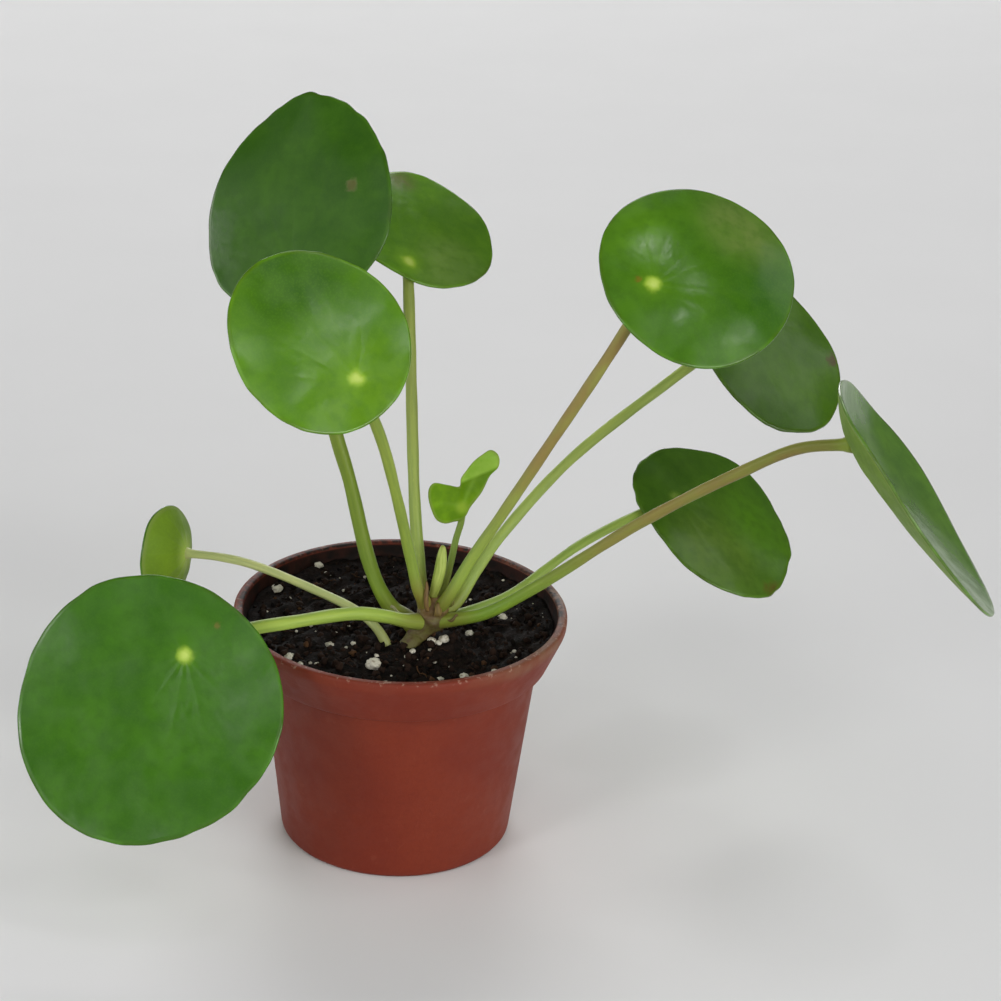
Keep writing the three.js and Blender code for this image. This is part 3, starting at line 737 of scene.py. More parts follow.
def tube(line, radius, sides, squeeze=None):
    """Points, faces and straightened places of a closed round bar; each point of its line has a radius"""
    tangents = np.gradient(line, axis=0)
    tangents /= np.linalg.norm(tangents, axis=1)[:, None]
    normal = np.cross(tangents[0], (0.3, 0.5, 0.81))
    points, strip = [], []
    along = lengths_along(line)
    angles = 2 * math.pi * np.arange(sides) / sides
    for step, (middle, tangent) in enumerate(zip(line, tangents)):
        normal = normal - tangent * normal.dot(tangent)
        normal /= np.linalg.norm(normal)
        side = np.cross(tangent, normal)
        reach = radius[step] * (1 if squeeze is None else squeeze(angles, along[step]))
        ring = middle + np.outer(np.cos(angles) * reach, normal) + np.outer(np.sin(angles) * reach, side)
        points.extend(ring)
        straight = [np.cos(angles) * radius[step], np.sin(angles) * radius[step], np.full(sides, along[step])]
        strip.extend(np.stack(straight, axis=1))
    steps = len(line)
    points += [line[0], line[-1]]
    strip += [(0, 0, 0), (0, 0, along[-1])]
    faces = []
    for step in range(steps - 1):
        faces += [face[::-1] for face in ring_faces(step * sides, (step + 1) * sides, sides)]
    faces += cap_faces(steps * sides, 0, sides, flip=True)
    faces += cap_faces(steps * sides + 1, (steps - 1) * sides, sides)
    return np.array(points), faces, np.array(strip)


# Blades

def direction(compass, rise):
    """The direction at a compass angle and a height, both in degrees"""
    compass, rise = math.radians(compass), math.radians(rise)
    return np.array([math.cos(compass) * math.cos(rise), math.sin(compass) * math.cos(rise), math.sin(rise)])


def placement(leaf):
    """The leaf's place: a function from blade millimetres (to the tip, to the side, up) to the plant's"""
    turn = math.radians(leaf["turn"])
    normal = direction(leaf["facing"], leaf["rise"])
    down = direction(leaf["facing"], leaf["rise"] - 90)
    tip = math.cos(turn) * down + math.sin(turn) * np.cross(normal, down)
    axes = np.stack([tip, np.cross(normal, tip), normal])
    seat = np.array(leaf["seat"], float)
    return lambda x, y, z: seat + np.stack([x, y, z], axis=-1) @ axes


def grown_form(leaf, number):
    """The margin and the surface of a full-grown leaf"""
    half_length, half_width = leaf["length"] / 2, leaf["width"] / 2
    blunt_end = leaf["inset"] - half_length

    def outline(angle):
        from_tip = np.minimum(angle, 2 * math.pi - angle)
        sharp = leaf.get("point", 0) * half_length * np.exp(-((from_tip / 0.45) ** 2))
        x = leaf["inset"] + half_length * np.cos(angle) + sharp
        y = half_width * np.sin(angle) * (1 - leaf.get("egg", 0) * np.cos(angle))
        return x, y

    def surface(x, y):
        along = (x - leaf["inset"]) / half_length
        across = y / half_width
        out = np.minimum(along ** 2 + across ** 2, 1.3)
        funnel = leaf.get("funnel", 0) * (np.sqrt(x ** 2 + y ** 2 + 9) - 3)
        curl = leaf.get("curl", 0) * (np.minimum(x, 0) / blunt_end) ** 2
        ripple = leaf["wave"] * out ** 1.5 * np.sin(5 * np.arctan2(across, along) + 2 * number)
        dome = leaf["dome"][0] * along ** 2 + leaf["dome"][1] * across ** 2
        height = funnel + curl + ripple - dome
        for u, v, reach, rise in leaf.get("bulges", ()):
            height = height + rise * np.exp(-((x - u) ** 2 + (y - v) ** 2) / reach ** 2)
        return height

    zero = surface(np.array(0.0), np.array(0.0))
    return outline, lambda x, y: surface(x, y) - zero


def past_fold(x, y):
    """How far a point of the young leaf lies beyond the fold between its halves"""
    start, end = (np.array(point, float) for point in YOUNG_LEAF["fold"])
    ahead = (end - start) / np.linalg.norm(end - start)
    beyond = (start[0] - x) * ahead[1] + (y - start[1]) * ahead[0]
    return np.minimum(beyond, start[1] + 0.3 - y)


def young_form(leaf):
    """The margin and the surface of the young leaf"""
    margin = smooth_line([(x, y, 0) for x, y in leaf["margin"]], MARGIN_POINTS, closed=True)
    places = np.arange(MARGIN_POINTS + 1) * 2 * math.pi / MARGIN_POINTS
    closed = np.vstack([margin, margin[:1]])

    def outline(angle):
        return np.interp(angle, places, closed[:, 0]), np.interp(angle, places, closed[:, 1])

    def surface(x, y):
        past = np.maximum(past_fold(x, y), 0)
        bent_back = leaf["furl"] * (np.sqrt(y ** 2 + 1) - 1) + 0.28 * (np.sqrt(past ** 2 + 0.25) - 0.5)
        curled = np.maximum(x - 11, 0) ** 2
        return 0.12 * curled - bent_back

    return outline, surface


def bent(start, control, end, strong, weak, count=9):
    """A curved vein as points and strengths"""
    t = np.linspace(0, 1, count)[:, None]
    points = (1 - t) ** 2 * start + 2 * t * (1 - t) * control + t ** 2 * end
    return points, np.linspace(strong, weak, count)


def vein_lines(outline, seed):
    """Main veins fan out from the seat, and each has side veins that bend forward"""
    rng = draws(seed)
    lines = []
    for degrees in MAIN_VEINS:
        angle = math.radians(degrees + rng.uniform(-5, 5)) % (2 * math.pi)
        end = 0.93 * np.array(outline(np.array(angle)), float)
        length = np.linalg.norm(end)
        ahead = end / length
        aside = np.array([-ahead[1], ahead[0]])
        lean = 0.1 * length * np.sign(degrees) * (1 if abs(degrees) < 100 else -0.5)
        control = 0.5 * end + aside * (lean + rng.uniform(-0.02, 0.02) * length)
        strong = 1.0 if abs(degrees) < 70 else 0.75
        lines.append(bent(np.zeros(2), control, end, strong, 0.3))
        points, strengths = lines[-1]
        for number in range(2 * SIDE_VEINS):
            way = 0.16 + 0.74 * (number + rng.uniform(0.1, 0.9)) / (2 * SIDE_VEINS)
            spot = int(way * (len(points) - 1))
            start = points[spot]
            forward = points[spot + 1] - points[spot]
            forward /= np.linalg.norm(forward)
            sign = 1 if number % 2 else -1
            tilt = math.radians(rng.uniform(42, 58)) * sign
            turned = np.array([forward[0] * math.cos(tilt) - forward[1] * math.sin(tilt),
                               forward[0] * math.sin(tilt) + forward[1] * math.cos(tilt)])
            reach = length * (0.34 * (1 - way) + 0.1) * rng.uniform(0.8, 1.15)
            finish = start + reach * (0.8 * turned + 0.35 * forward)
            lines.append(bent(start, start + 0.5 * reach * turned, finish, 0.6 * strengths[spot], 0.12, 6))
    return lines


def near_lines(x, y, lines, width):
    """How much a point lies in a vein: its strength at its middle, falling off over width"""
    starts = np.vstack([points[:-1] for points, _ in lines])
    ends = np.vstack([points[1:] for points, _ in lines])
    first = np.concatenate([strengths[:-1] for _, strengths in lines])
    last = np.concatenate([strengths[1:] for _, strengths in lines])
    steps = ends - starts
    lengths = np.maximum((steps ** 2).sum(1), 1e-9)
    result = np.zeros(len(x))
    for a, step, square, s0, s1 in zip(starts, steps, lengths, first, last):
        dx, dy = x - a[0], y - a[1]
        t = np.clip((dx * step[0] + dy * step[1]) / square, 0, 1)
        away = (dx - t * step[0]) ** 2 + (dy - t * step[1]) ** 2
        result = np.maximum(result, (s0 + (s1 - s0) * t) * np.exp(-away / width ** 2))
    return result


def soft_swells(x, y, seed, size, height):
    """Gentle uneven swells of about that size and height"""
    rng = draws(seed)
    result = np.zeros(len(x))
    for _ in range(SWELL_WAVES):
        heading, phase = rng.uniform(0, 2 * math.pi, 2)
        wave = 2 * math.pi / (size * rng.uniform(0.7, 1.5))
        result += np.sin(wave * (x * math.cos(heading) + y * math.sin(heading)) + phase)
    return height * result / 3


def ragged_margin(margin, middle, angles, number, depth):
    """The margin with shallow notches, which are deeper on some sides than on others"""
    bumps = 0.5 * np.sin(9 * angles + number) + 0.35 * np.sin(16 * angles + 2 * number)
    bumps += 0.25 * np.sin(27 * angles + 3 * number)
    bumps -= 0.5 * (1 - np.abs(np.sin(6.5 * angles + number)) ** 0.4)
    uneven = 0.65 + 0.35 * np.sin(2 * angles + 2 * number)
    reach = np.linalg.norm(margin - middle, axis=1)
    return middle + (margin - middle) * (1 + depth * uneven * bumps / reach)[:, None], reach


def blade_faces(count):
    """Faces of a blade's upper face, edge and underside, and how many belong to the first two"""
    sides = BLADE_SIDES
    rim = 1 + (BLADE_RINGS - 1) * sides
    lower = count + (EDGE_STEPS - 1) * sides
    faces = cap_faces(0, 1, sides)
    for ring in range(BLADE_RINGS - 1):
        faces += ring_faces(1 + ring * sides, 1 + (ring + 1) * sides, sides)
    edge_rings = [rim] + [count + step * sides for step in range(EDGE_STEPS - 1)]
    for first, second in zip(edge_rings, edge_rings[1:]):
        faces += ring_faces(first, second, sides)
    upper_faces = len(faces)
    faces += ring_faces(edge_rings[-1], lower + rim, sides)
    for ring in range(BLADE_RINGS - 1):
        first, second = lower + 1 + ring * sides, lower + 1 + (ring + 1) * sides
        faces += [face[::-1] for face in ring_faces(first, second, sides)]
    return faces + cap_faces(lower, lower + 1, sides, flip=True), upper_faces


def young_vein_lines():
    """The two veins of the young leaf, one in each half"""
    seat = np.zeros(2)
    return [
        bent(seat, np.array([6.0, -1.6]), np.array([12.6, -5.6]), 1.0, 0.3),
        bent(seat, np.array([1.5, 3.0]), np.array([0.5, 6.6]), 0.7, 0.2),
    ]


def build_blade(number, leaf, form):
    """A blade: veined upper face, ribbed underside and a rounded edge between them"""
    outline, height = form
    to_plant = placement(leaf)
    thickness = leaf.get("thickness", BLADE_THICKNESS)
    middle = np.array(leaf.get("middle", (0, 0)), float)
    grown = number != YOUNG_NUMBER
    sides = BLADE_SIDES
    angles = 2 * math.pi * np.arange(sides) / sides
    margin = np.stack(outline(angles), axis=1)
    margin, reach = ragged_margin(margin, middle, angles, number, leaf.get("ragged", 0))
    outward = (margin - middle) / np.linalg.norm(margin - middle, axis=1)[:, None]
    edge_round = EDGE_SHARE * thickness
    shares = (np.arange(1, BLADE_RINGS + 1) / BLADE_RINGS) ** 0.95
    flat = np.vstack([middle[None]] + [middle + s * (margin - outward * edge_round - middle) for s in shares])
    away = np.concatenate([[1.0], np.repeat(shares, sides)])
    edge = (1 - away) * np.concatenate([[reach[0]], np.tile(reach, BLADE_RINGS)])
    x, y = flat[:, 0], flat[:, 1]

    lines = vein_lines(outline, VEIN_SEED + number) if grown else young_vein_lines()
    narrow = near_lines(x, y, lines, 0.55)
    broad = near_lines(x, y, lines, 1.5)
    calm = 1 - away ** 6
    swells = soft_swells(x, y, SWELL_SEED + number, SWELL_SIZE, leaf.get("swell", 0.07)) * calm
    form_height = height(x, y) + swells
    top = form_height - (0.03 * broad + 0.02 * narrow) * calm
    under = form_height - thickness * (1 - 0.25 * away ** 4) - (0.18 * broad + 0.14 * narrow) * calm

    points = [to_plant(x, y, top)]
    rim_top = points[0][-sides:]
    rim_under = to_plant(x[-sides:], y[-sides:], under[-sides:])
    ahead = to_plant(outward[:, 0], outward[:, 1], np.zeros(sides)) - to_plant(0, 0, 0)
    for step in range(1, EDGE_STEPS):
        turn = math.pi * step / EDGE_STEPS
        share = (1 - math.cos(turn)) / 2
        points.append(rim_top + (rim_under - rim_top) * share + ahead * edge_round * math.sin(turn))
    points.append(to_plant(x, y, under))

    def on_both(values, between=None):
        """Values of the upper face, repeated for the edge, or with between there, and for the underside"""
        on_edge = np.tile(values[-sides:] if between is None else np.full(sides, between), EDGE_STEPS - 1)
        return np.concatenate([values, on_edge, values])

    held = {
        "vein": on_both(narrow, 0.0),
        "edge": on_both(edge, 0.0),
        "from_seat": on_both(np.hypot(x, y)),
    }
    if not grown:
        held["fold"] = on_both(past_fold(x, y))

    def on_blade(u, v):
        return to_plant(u, v, float(height(np.array(u), np.array(v))))

    upper_look = blade_upper_look(number, on_blade) if grown else young_upper_look()
    looks = [upper_look, blade_under_look(number, leaf["green"])]
    faces, upper_faces = blade_faces(len(x))
    face_materials = [0] * upper_faces + [1] * (len(faces) - upper_faces)
    name = f"leaf_{number}_lamina"
    new_piece(name, np.vstack(points), faces, looks, [f"leaf_{number}_blade"], face_materials, held)


# Stalks and crown

def stem_axis_at(level):
    """The stem's middle at a height"""
    places = np.array([place for place, _ in STEM_LINE], float)
    return np.array([np.interp(level, places[:, 2], places[:, axis]) for axis in range(3)])


def build_stalk(number, leaf):
    """A stalk from the stem, or from the soil, to the underside of its blade, wider at both ends"""
    to_plant = placement(leaf)
    foot = leaf.get("foot")
    if foot is None:
        foot = stem_axis_at(leaf.get("spring", leaf["via"][0][2] - 2))
    thickness = leaf.get("thickness", BLADE_THICKNESS)
    seat = to_plant(0.0, 0.0, -0.6 * thickness)
    line = smooth_line([foot, *leaf["via"], seat], STALK_STEPS)
    along = lengths_along(line)
    way = along / along[-1]
    thick_foot, thick_top = leaf["thick"]
    radius = (thick_foot + (thick_top - thick_foot) * np.minimum(1, 2.5 * way)) / 2
    radius = radius * (1 + 0.28 * np.exp(-((along / 7) ** 2)))
    radius = radius * (1 + 0.5 * np.exp(-(((along[-1] - along) / 1.5) ** 2)))
    radius = radius * (1 + 0.025 * np.sin(along / 4.1 + number) + 0.02 * np.sin(along / 1.9 + 2 * number))

    def squeeze(angles, at):
        return 1 + 0.03 * np.cos(2 * angles + number + 0.02 * at) + 0.012 * np.cos(7 * angles + number)

    points, faces, strip = tube(line, radius, STALK_SIDES, squeeze)
    upward = to_plant(0.0, 0.0, 1.0) - to_plant(0.0, 0.0, 0.0)
    above = (points - seat) @ upward
    at_blade = strip[:, 2] > along[-1] - STALK_END
    points = points - np.outer(np.where(at_blade, np.maximum(above, 0), 0), upward)
    held = {
        "strip": strip,
        "way": strip[:, 2] / along[-1],
        "from_foot": strip[:, 2],
    }
    look = stalk_look(number, leaf["stalk"], leaf["tan"])
    name = f"leaf_{number}_petiole"
    new_piece(name, points, faces, [look], [f"leaf_{number}_stalk"], held=held)


def build_stem():
    """The short stem: knobbly, ringed by leaf scars"""
    places = [place for place, _ in STEM_LINE]
    line = smooth_line(places, STEM_STEPS)
    radius = np.interp(line[:, 2], [place[2] for place in places], [wide for _, wide in STEM_LINE])
    scars = 0.12 * np.abs(np.sin(line[:, 2] * 0.95)) ** 6
    waist = 0.2 * np.exp(-(((line[:, 2] - 57) / 2.6) ** 2))
    radius = radius * (1 + scars - waist)

    def squeeze(angles, at):
        return 1 + 0.06 * np.cos(3 * angles + 0.6 * at) + 0.04 * np.cos(5 * angles - 0.9 * at)

    points, faces, _ = tube(line, radius, STEM_SIDES, squeeze)
    new_piece("crown_stem", points, faces, [stem_look()], ["stem"])


def build_bud():
    """The bud: a folded spindle"""
    foot, tip = (np.array(BUD[key], float) for key in ("foot", "tip"))
    lean = np.array([0.35, -0.2, 0.0])
    line = smooth_line([foot, (foot + tip) / 2 + lean, tip], BUD_STEPS)
    way = np.linspace(0, 1, BUD_STEPS)
    radius = BUD["thick"] / 2 * (0.75 + 0.5 * way) * np.sqrt(np.maximum(0.004, 1.02 - way ** 3))
    radius[-1] *= 0.4

    def squeeze(angles, at):
        return 1 + 0.08 * np.cos(2 * angles + 0.1 * at) - 0.06 * np.abs(np.cos(1.5 * angles)) ** 6

    points, faces, strip = tube(line, radius, BUD_SIDES, squeeze)
    held = {"strip": strip, "way": strip[:, 2] / strip[-1, 2]}
    new_piece("bud_spindle", points, faces, [bud_look()], ["leaf_bud"], held=held)


def sheet_faces(rows, columns):
    """Faces of a thin sheet whose front points come row by row, followed by those of its back"""
    faces = []
    sheet = rows * columns
    for row in range(rows - 1):
        for column in range(columns - 1):
            a = row * columns + column
            quad = (a, a + 1, a + columns + 1, a + columns)
            faces += [quad, tuple(sheet + i for i in quad[::-1])]
    border = list(range(columns)) + [r * columns + columns - 1 for r in range(1, rows)]
    border += [sheet - 2 - i for i in range(columns - 1)] + [r * columns for r in range(rows - 2, 0, -1)]
    return faces + [(b, a, sheet + a, sheet + b) for a, b in zip(border, border[1:] + border[:1])]


def build_scale(index, foot, tip, width, tint):
    """A pointed scale: a thin curved sheet, cupped round what it sheathes"""
    foot, tip = np.array(foot, float), np.array(tip, float)
    outward = foot - stem_axis_at(float(foot[2]))
    outward[2] = 0
    outward /= np.linalg.norm(outward)
    along = tip - foot
    side = np.cross(along, outward)
    side /= np.linalg.norm(side)
    outward = np.cross(side, along)
    outward /= np.linalg.norm(outward)
    points, strip, ways = [], [], []
    for face in (0.0, -SCALE_THICKNESS):
        for way in np.arange(SCALE_ROWS) / (SCALE_ROWS - 1):
            half = 0.5 * width * (1 - way) ** 0.6 * (0.75 + 0.9 * way) + 0.04
            for across in 2 * np.arange(SCALE_COLUMNS) / (SCALE_COLUMNS - 1) - 1:
                bulge = 0.9 * math.sin(math.pi * min(1, 0.2 + way)) - 0.5 * width * across ** 2 * 0.55
                points.append(foot + along * way + side * half * across + outward * (bulge + face))
                strip.append((half * across, 0, way * np.linalg.norm(along)))
                ways.append(way)
    faces = sheet_faces(SCALE_ROWS, SCALE_COLUMNS)
    held = {"strip": strip, "way": ways}
    new_piece(f"crown_scale_{index}", points, faces, [scale_look(index, tint)], held=held)


# Pot

def rounded(corners, steps=5):
    """A turned profile with its corners rounded: each corner is a radius, a height and the rounding's size"""
    points = []
    for i, (r, h, size) in enumerate(corners):
        corner = np.array([r, h], float)
        if size == 0 or i in (0, len(corners) - 1):
            points.append(corner)
            continue
        before = np.array(corners[i - 1][:2], float) - corner
        after = np.array(corners[i + 1][:2], float) - corner
        a = corner + before * min(0.45, size / np.linalg.norm(before))
        b = corner + after * min(0.45, size / np.linalg.norm(after))
        for t in np.linspace(0, 1, steps):
            points.append((1 - t) ** 2 * a + 2 * t * (1 - t) * corner + t ** 2 * b)
    return points


def turned(profile, sides):
    """Points and faces of a profile turned round the middle; it starts and ends on the axis"""
    angles = 2 * math.pi * np.arange(sides) / sides
    ring = np.stack([np.cos(angles), np.sin(angles)], axis=1)
    points = [(0, 0, profile[0][1])]
    for r, h in profile[1:-1]:
        points.extend(np.column_stack([ring * r, np.full(sides, h)]))
    points.append((0, 0, profile[-1][1]))
    faces = cap_faces(0, 1, sides, flip=True)
    rings = len(profile) - 2
    for i in range(rings - 1):
        faces += [face[::-1] for face in ring_faces(1 + i * sides, 1 + (i + 1) * sides, sides)]
    faces += cap_faces(len(points) - 1, 1 + (rings - 1) * sides, sides)
    return np.array(points), faces


def cut_drain_holes(pot):
    """Drill the holes through the pot's floor"""
    drill, drill_faces = turned(
        [(0, -2), (DRAIN_RADIUS, -2), (DRAIN_RADIUS, POT_FLOOR + 2), (0, POT_FLOOR + 2)], DRAIN_SIDES)
    points, faces = [], []
    for hole in range(DRAIN_HOLES):
        angle = 2 * math.pi * (hole + 0.5) / DRAIN_HOLES
        place = DRAIN_CIRCLE * math.cos(angle), DRAIN_CIRCLE * math.sin(angle), 0
        add_part(points, faces, drill + place, drill_faces)
    drills = in_scene("drills", new_mesh("drills", points, faces))
    cut = pot.modifiers.new("drain_holes", "BOOLEAN")
    cut.operation = "DIFFERENCE"
    cut.solver = "EXACT"
    cut.object = drills
    result = bpy.data.meshes.new_from_object(pot.evaluated_get(bpy.context.evaluated_depsgraph_get()))
    pot.modifiers.clear()
    pot.data = result
    bpy.data.objects.remove(drills)


def build_pot():
    """The pot: rounded lip, flared collar with a step under it, tapered body and drainage holes"""
    inner_rim = RIM_RADIUS - LIP_WIDTH
    corners = [
        (0, 0, 0),
        (BASE_RADIUS - 5, 0, 0),
        (BASE_RADIUS, 0, 1.5),
        (BODY_TOP_RADIUS, COLLAR_BOTTOM - 0.4, 0.5),
        (COLLAR_RADIUS, COLLAR_BOTTOM, 0.6),
        (RIM_RADIUS - 0.3, POT_HEIGHT - LIP_HEIGHT, 0.7),
        (RIM_RADIUS, POT_HEIGHT - LIP_HEIGHT + 0.9, 0.6),
        (RIM_RADIUS, POT_HEIGHT, 0.8),
        (inner_rim, POT_HEIGHT, 0.7),
        (inner_rim - 0.3, POT_HEIGHT - LIP_HEIGHT, 0.8),
        (COLLAR_RADIUS - POT_WALL, COLLAR_BOTTOM + 0.5, 0.8),
        (BODY_TOP_RADIUS - POT_WALL, COLLAR_BOTTOM - 1, 0.8),
        (BASE_RADIUS - POT_WALL, POT_FLOOR, 1),
        (0, POT_FLOOR, 0),
    ]
    profile = rounded(corners)
    points, faces = turned(profile, POT_SIDES)
    top = max(range(len(profile)), key=lambda i: profile[i][1])
    lip = next(i for i in range(top, len(profile)) if profile[i][0] <= inner_rim + 0.05)
    inside = 1 + lip * POT_SIDES
    face_materials = [int(min(face) >= inside) for face in faces]
    looks = [pot_look(), pot_inside_look()]
    pot = new_piece("pot_shell", points, faces, looks, ["pot"], face_materials)
    cut_drain_holes(pot)
    pot.data.set_sharp_from_angle(angle=math.radians(40))


# Soil

def soil_height(x, y):
    """The height of the soil's uneven top"""
    lumps = math.sin(0.55 * x + 1.3) * math.cos(0.47 * y - 0.4) + 0.6 * math.sin(1.1 * x - 0.9 * y)
    mound = 0.8 * math.exp(-((x - 4) ** 2 + (y + 12) ** 2) / 150)
    mound += 2.6 * math.exp(-((x - 9.5) ** 2 + (y + 11.5) ** 2) / 22)
    return SOIL_LEVEL + 0.42 * lumps + mound - 0.3


def rough_height(x, y):
    """The soil's top with its crumbs"""
    fine = noise.fractal(Vector((x, y, 0)) / 1.9, 1.0, 2.0, 4)
    clods = noise.noise(Vector((x, y, 7)) / 3.6)
    return soil_height(x, y) + 0.5 * fine + 0.55 * max(0, clods)


def build_soil():
    """The soil: a crumbly top, and plain sides down to the pot's floor"""
    angles = 2 * math.pi * np.arange(SOIL_SIDES) / SOIL_SIDES
    points = [(0, 0, rough_height(0, 0))]
    for ring in range(1, SOIL_RINGS + 1):
        radius = SOIL_EDGE * ring / SOIL_RINGS
        for angle in angles:
            x, y = radius * math.cos(angle), radius * math.sin(angle)
            points.append((x, y, min(rough_height(x, y), SOIL_HIGHEST)))
    for radius, level in SOIL_SIDE:
        points += [(radius * math.cos(angle), radius * math.sin(angle), level) for angle in angles]
    points.append((0, 0, SOIL_SIDE[-1][1]))
    faces = cap_faces(0, 1, SOIL_SIDES)
    rings = SOIL_RINGS + len(SOIL_SIDE)
    for ring in range(rings - 1):
        faces += ring_faces(1 + ring * SOIL_SIDES, 1 + (ring + 1) * SOIL_SIDES, SOIL_SIDES)
    faces += cap_faces(len(points) - 1, 1 + (rings - 1) * SOIL_SIDES, SOIL_SIDES, flip=True)
    new_piece("potting_soil", points, faces, [soil_look()], ["soil"])


def lump_shape(detail):
    """The points and faces of a ball of triangles"""
    ball = bmesh.new()
    bmesh.ops.create_icosphere(ball, subdivisions=detail, radius=1)
    points = np.array([vertex.co for vertex in ball.verts])
    faces = [tuple(vertex.index for vertex in face.verts) for face in ball.faces]
    ball.free()
    return points, faces


def knobbly(points, seed, depth):
    """The ball's points pushed in and out unevenly"""
    away = Vector((seed * 3.7, seed, -seed))
    return np.array([p * (1 + depth * noise.noise(Vector(p) * 1.7 + away)) for p in points])


def scattered(count, seed, sizes, edge):
    """Even random places on the soil, each with a size and a turn"""
    rng = draws(seed)
    for number in range(count):
        radius = (edge - 0.6) * math.sqrt(rng.random())
        angle = rng.uniform(0, 2 * math.pi)
        size = sizes[0] + (sizes[1] - sizes[0]) * rng.random() ** 2.5
        turns = rng.uniform(0, 2 * math.pi, 3)
        x, y = (radius - size / 2) * math.cos(angle), (radius - size / 2) * math.sin(angle)
        yield number, x, y, size, turns, rng.random()


def turning(turns):
    """The matrix of three turns, one round each axis"""
    round_x, round_y, round_z = (Matrix.Rotation(turn, 3, axis) for turn, axis in zip(turns, "XYZ"))
    return np.array(round_x @ round_y @ round_z)


def build_crumbs():
    """Crumbs of soil, lying on its top"""
    ball, ball_faces = lump_shape(2)
    shapes = [knobbly(ball, seed, 0.55) for seed in range(CRUMB_SHAPES)]
    points, faces, shades = [], [], []
    for number, x, y, size, turns, shade in scattered(CRUMBS, CRUMB_SEED, (0.45, 2.4), SOIL_EDGE):
        stretch = np.array([1, 0.55 + 0.4 * shade, 0.45 + 0.3 * shade]) * size / 2
        lump = (shapes[number % CRUMB_SHAPES] * stretch) @ turning(turns)
        add_part(points, faces, lump + (x, y, rough_height(x, y) + 0.12 * size), ball_faces)
        shades += [shade] * len(lump)
    look = crumb_look("soil_crumb_skin")
    new_piece("soil_crumbs", points, faces, [look], held={"shade": shades})


def build_fibres():
    """Short peat fibres, half sunk in the soil"""
    points, faces, shades = [], [], []
    for _, x, y, size, turns, shade in scattered(FIBRES, FIBRE_SEED, (2.5, 7.5), SOIL_EDGE - 3.6):
        heading = turns[0]
        line = []
        for step in np.linspace(-0.5, 0.5, FIBRE_STEPS):
            bend = 0.16 * size * math.cos(4 * step + turns[1])
            px = x + size * step * math.cos(heading) - bend * math.sin(heading)
            py = y + size * step * math.sin(heading) + bend * math.cos(heading)
            line.append((px, py, rough_height(px, py) + 0.12 + 0.25 * shade * math.cos(3 * step)))
        wide = (0.09 + 0.1 * shade) * np.sin(np.linspace(0.5, math.pi - 0.5, FIBRE_STEPS))
        own, own_faces, _ = tube(np.array(line), wide, FIBRE_SIDES)
        add_part(points, faces, own, own_faces)
        shades += [0.5 + 0.5 * shade] * len(own)
    look = crumb_look("soil_fibre_skin")
    new_piece("soil_fibres", points, faces, [look], held={"shade": shades})


def perlite_lump(x, y, size, seed, ball):
    """A puffed grain, sunk a little in the soil"""
    lump = knobbly(ball, seed, 0.3)
    lump = np.array([p * (1 + 0.09 * noise.noise(Vector(p) * 5 + Vector((seed, 0, 0)))) for p in lump])
    return lump * (size / 2) * (1, 1, 0.7) + (x, y, soil_height(x, y) + 0.12 * size)


def build_perlite(look):
    """The nine grains that are solids of their own, and one piece with all the smaller ones"""
    ball, ball_faces = lump_shape(4)
    for number, ((x, y), size) in enumerate(PERLITE, start=1):
        lump = perlite_lump(x, y, size, number, ball)
        new_piece(f"perlite_grain_{number}", lump, ball_faces, [look], [f"perlite_{number}"])
    ball, ball_faces = lump_shape(3)
    points, faces = [], []
    specks = [(x, y, size) for (x, y), size in SMALL_PERLITE]
    random_specks = scattered(SPECKS, SPECK_SEED, (0.35, 1.0), SOIL_EDGE)
    specks += [(x, y, size) for _, x, y, size, _, _ in random_specks]
    for seed, (x, y, size) in enumerate(specks, start=GRAIN_SEED):
        lift = rough_height(x, y) - soil_height(x, y)
        add_part(points, faces, perlite_lump(x, y, size, seed, ball) + (0, 0, max(0, lift)), ball_faces)
    new_piece("perlite_specks", points, faces, [look])


# Stage, light and camera

def stage_look():
    """White paper with the faintest clouds"""
    look = Look("table_paper")
    color = look.mix(look.noise(60, 3), paint("e6e6e6"), paint("eaeaea"))
    return look.surface(color, 0.9)


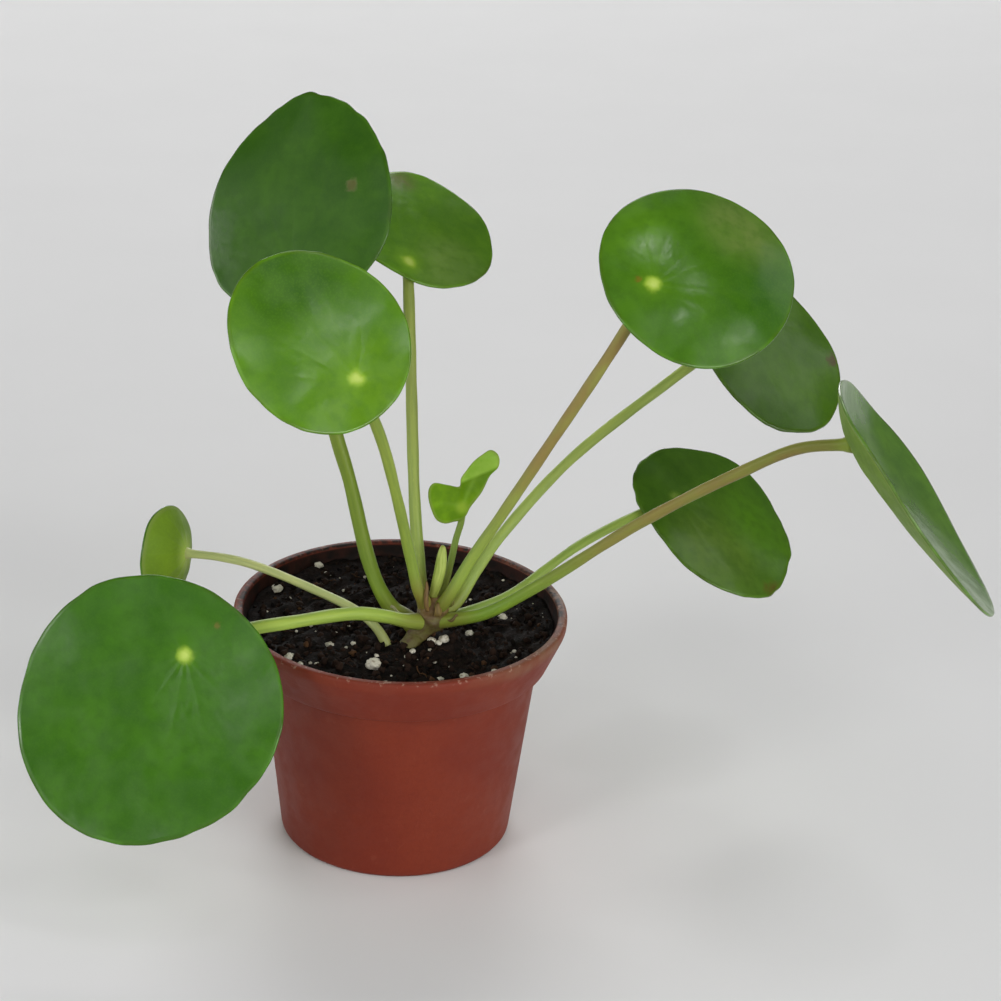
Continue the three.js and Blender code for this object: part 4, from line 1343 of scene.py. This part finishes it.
def build_stage():
    """The table that the pot stands on"""
    corners = [(-1, -1), (1, -1), (1, 1), (-1, 1)]
    points = [(x * TABLE_SIZE / 2, y * TABLE_SIZE / 2, TABLE_LEVEL) for x, y in corners]
    table = in_scene("table", new_mesh("table", points, [(0, 1, 2, 3)]))
    table.data.materials.append(stage_look())


def add_softbox(name, compass, rise, distance, size, brightness):
    """A soft light panel that faces the plant"""
    light = bpy.data.lights.new(name, "AREA")
    light.shape = "RECTANGLE"
    light.size, light.size_y = (side * MM for side in size)
    light.energy = brightness * math.pi * light.size * light.size_y
    lamp = in_scene(name, light)
    outward = Vector(direction(compass, rise))
    lamp.location = (Vector(PLANT_MIDDLE) + outward * distance) * MM
    lamp.rotation_euler = outward.to_track_quat("Z", "Y").to_euler()


def light_scene():
    """The room's own light and the soft panels"""
    world = bpy.data.worlds.new("studio")
    world.use_nodes = True
    back = world.node_tree.nodes["Background"]
    back.inputs["Color"].default_value = (1, 1, 1, 1)
    back.inputs["Strength"].default_value = ROOM_BRIGHTNESS
    bpy.context.scene.world = world
    for row in SOFTBOXES:
        add_softbox(*row)
    bpy.context.scene.view_settings.view_transform = "Standard"


def add_camera():
    """The camera from which the photo was taken"""
    camera = in_scene("camera", bpy.data.cameras.new("camera"))
    camera.data.lens = CAMERA_LENS
    camera.data.clip_start = 0.01
    turn = Matrix.Rotation(-CAMERA_RIGHT, 4, "Z")
    look_down = Matrix.Rotation(math.pi / 2 - CAMERA_DOWN, 4, "X")
    lean = Matrix.Rotation(CAMERA_LEAN, 4, "Z")
    camera.matrix_world = Matrix.Translation(Vector(CAMERA_PLACE) * MM) @ turn @ look_down @ lean
    bpy.context.scene.camera = camera


add_camera()
light_scene()
build_stage()
build_pot()
build_soil()
build_crumbs()
build_fibres()
build_perlite(perlite_look())
build_stem()
build_bud()
for index, row in enumerate(SCALES, start=1):
    build_scale(index, *row)
for number, leaf in LEAVES.items():
    build_blade(number, leaf, grown_form(leaf, number))
    build_stalk(number, leaf)
build_blade(YOUNG_NUMBER, YOUNG_LEAF, young_form(YOUNG_LEAF))
build_stalk(YOUNG_NUMBER, YOUNG_LEAF)
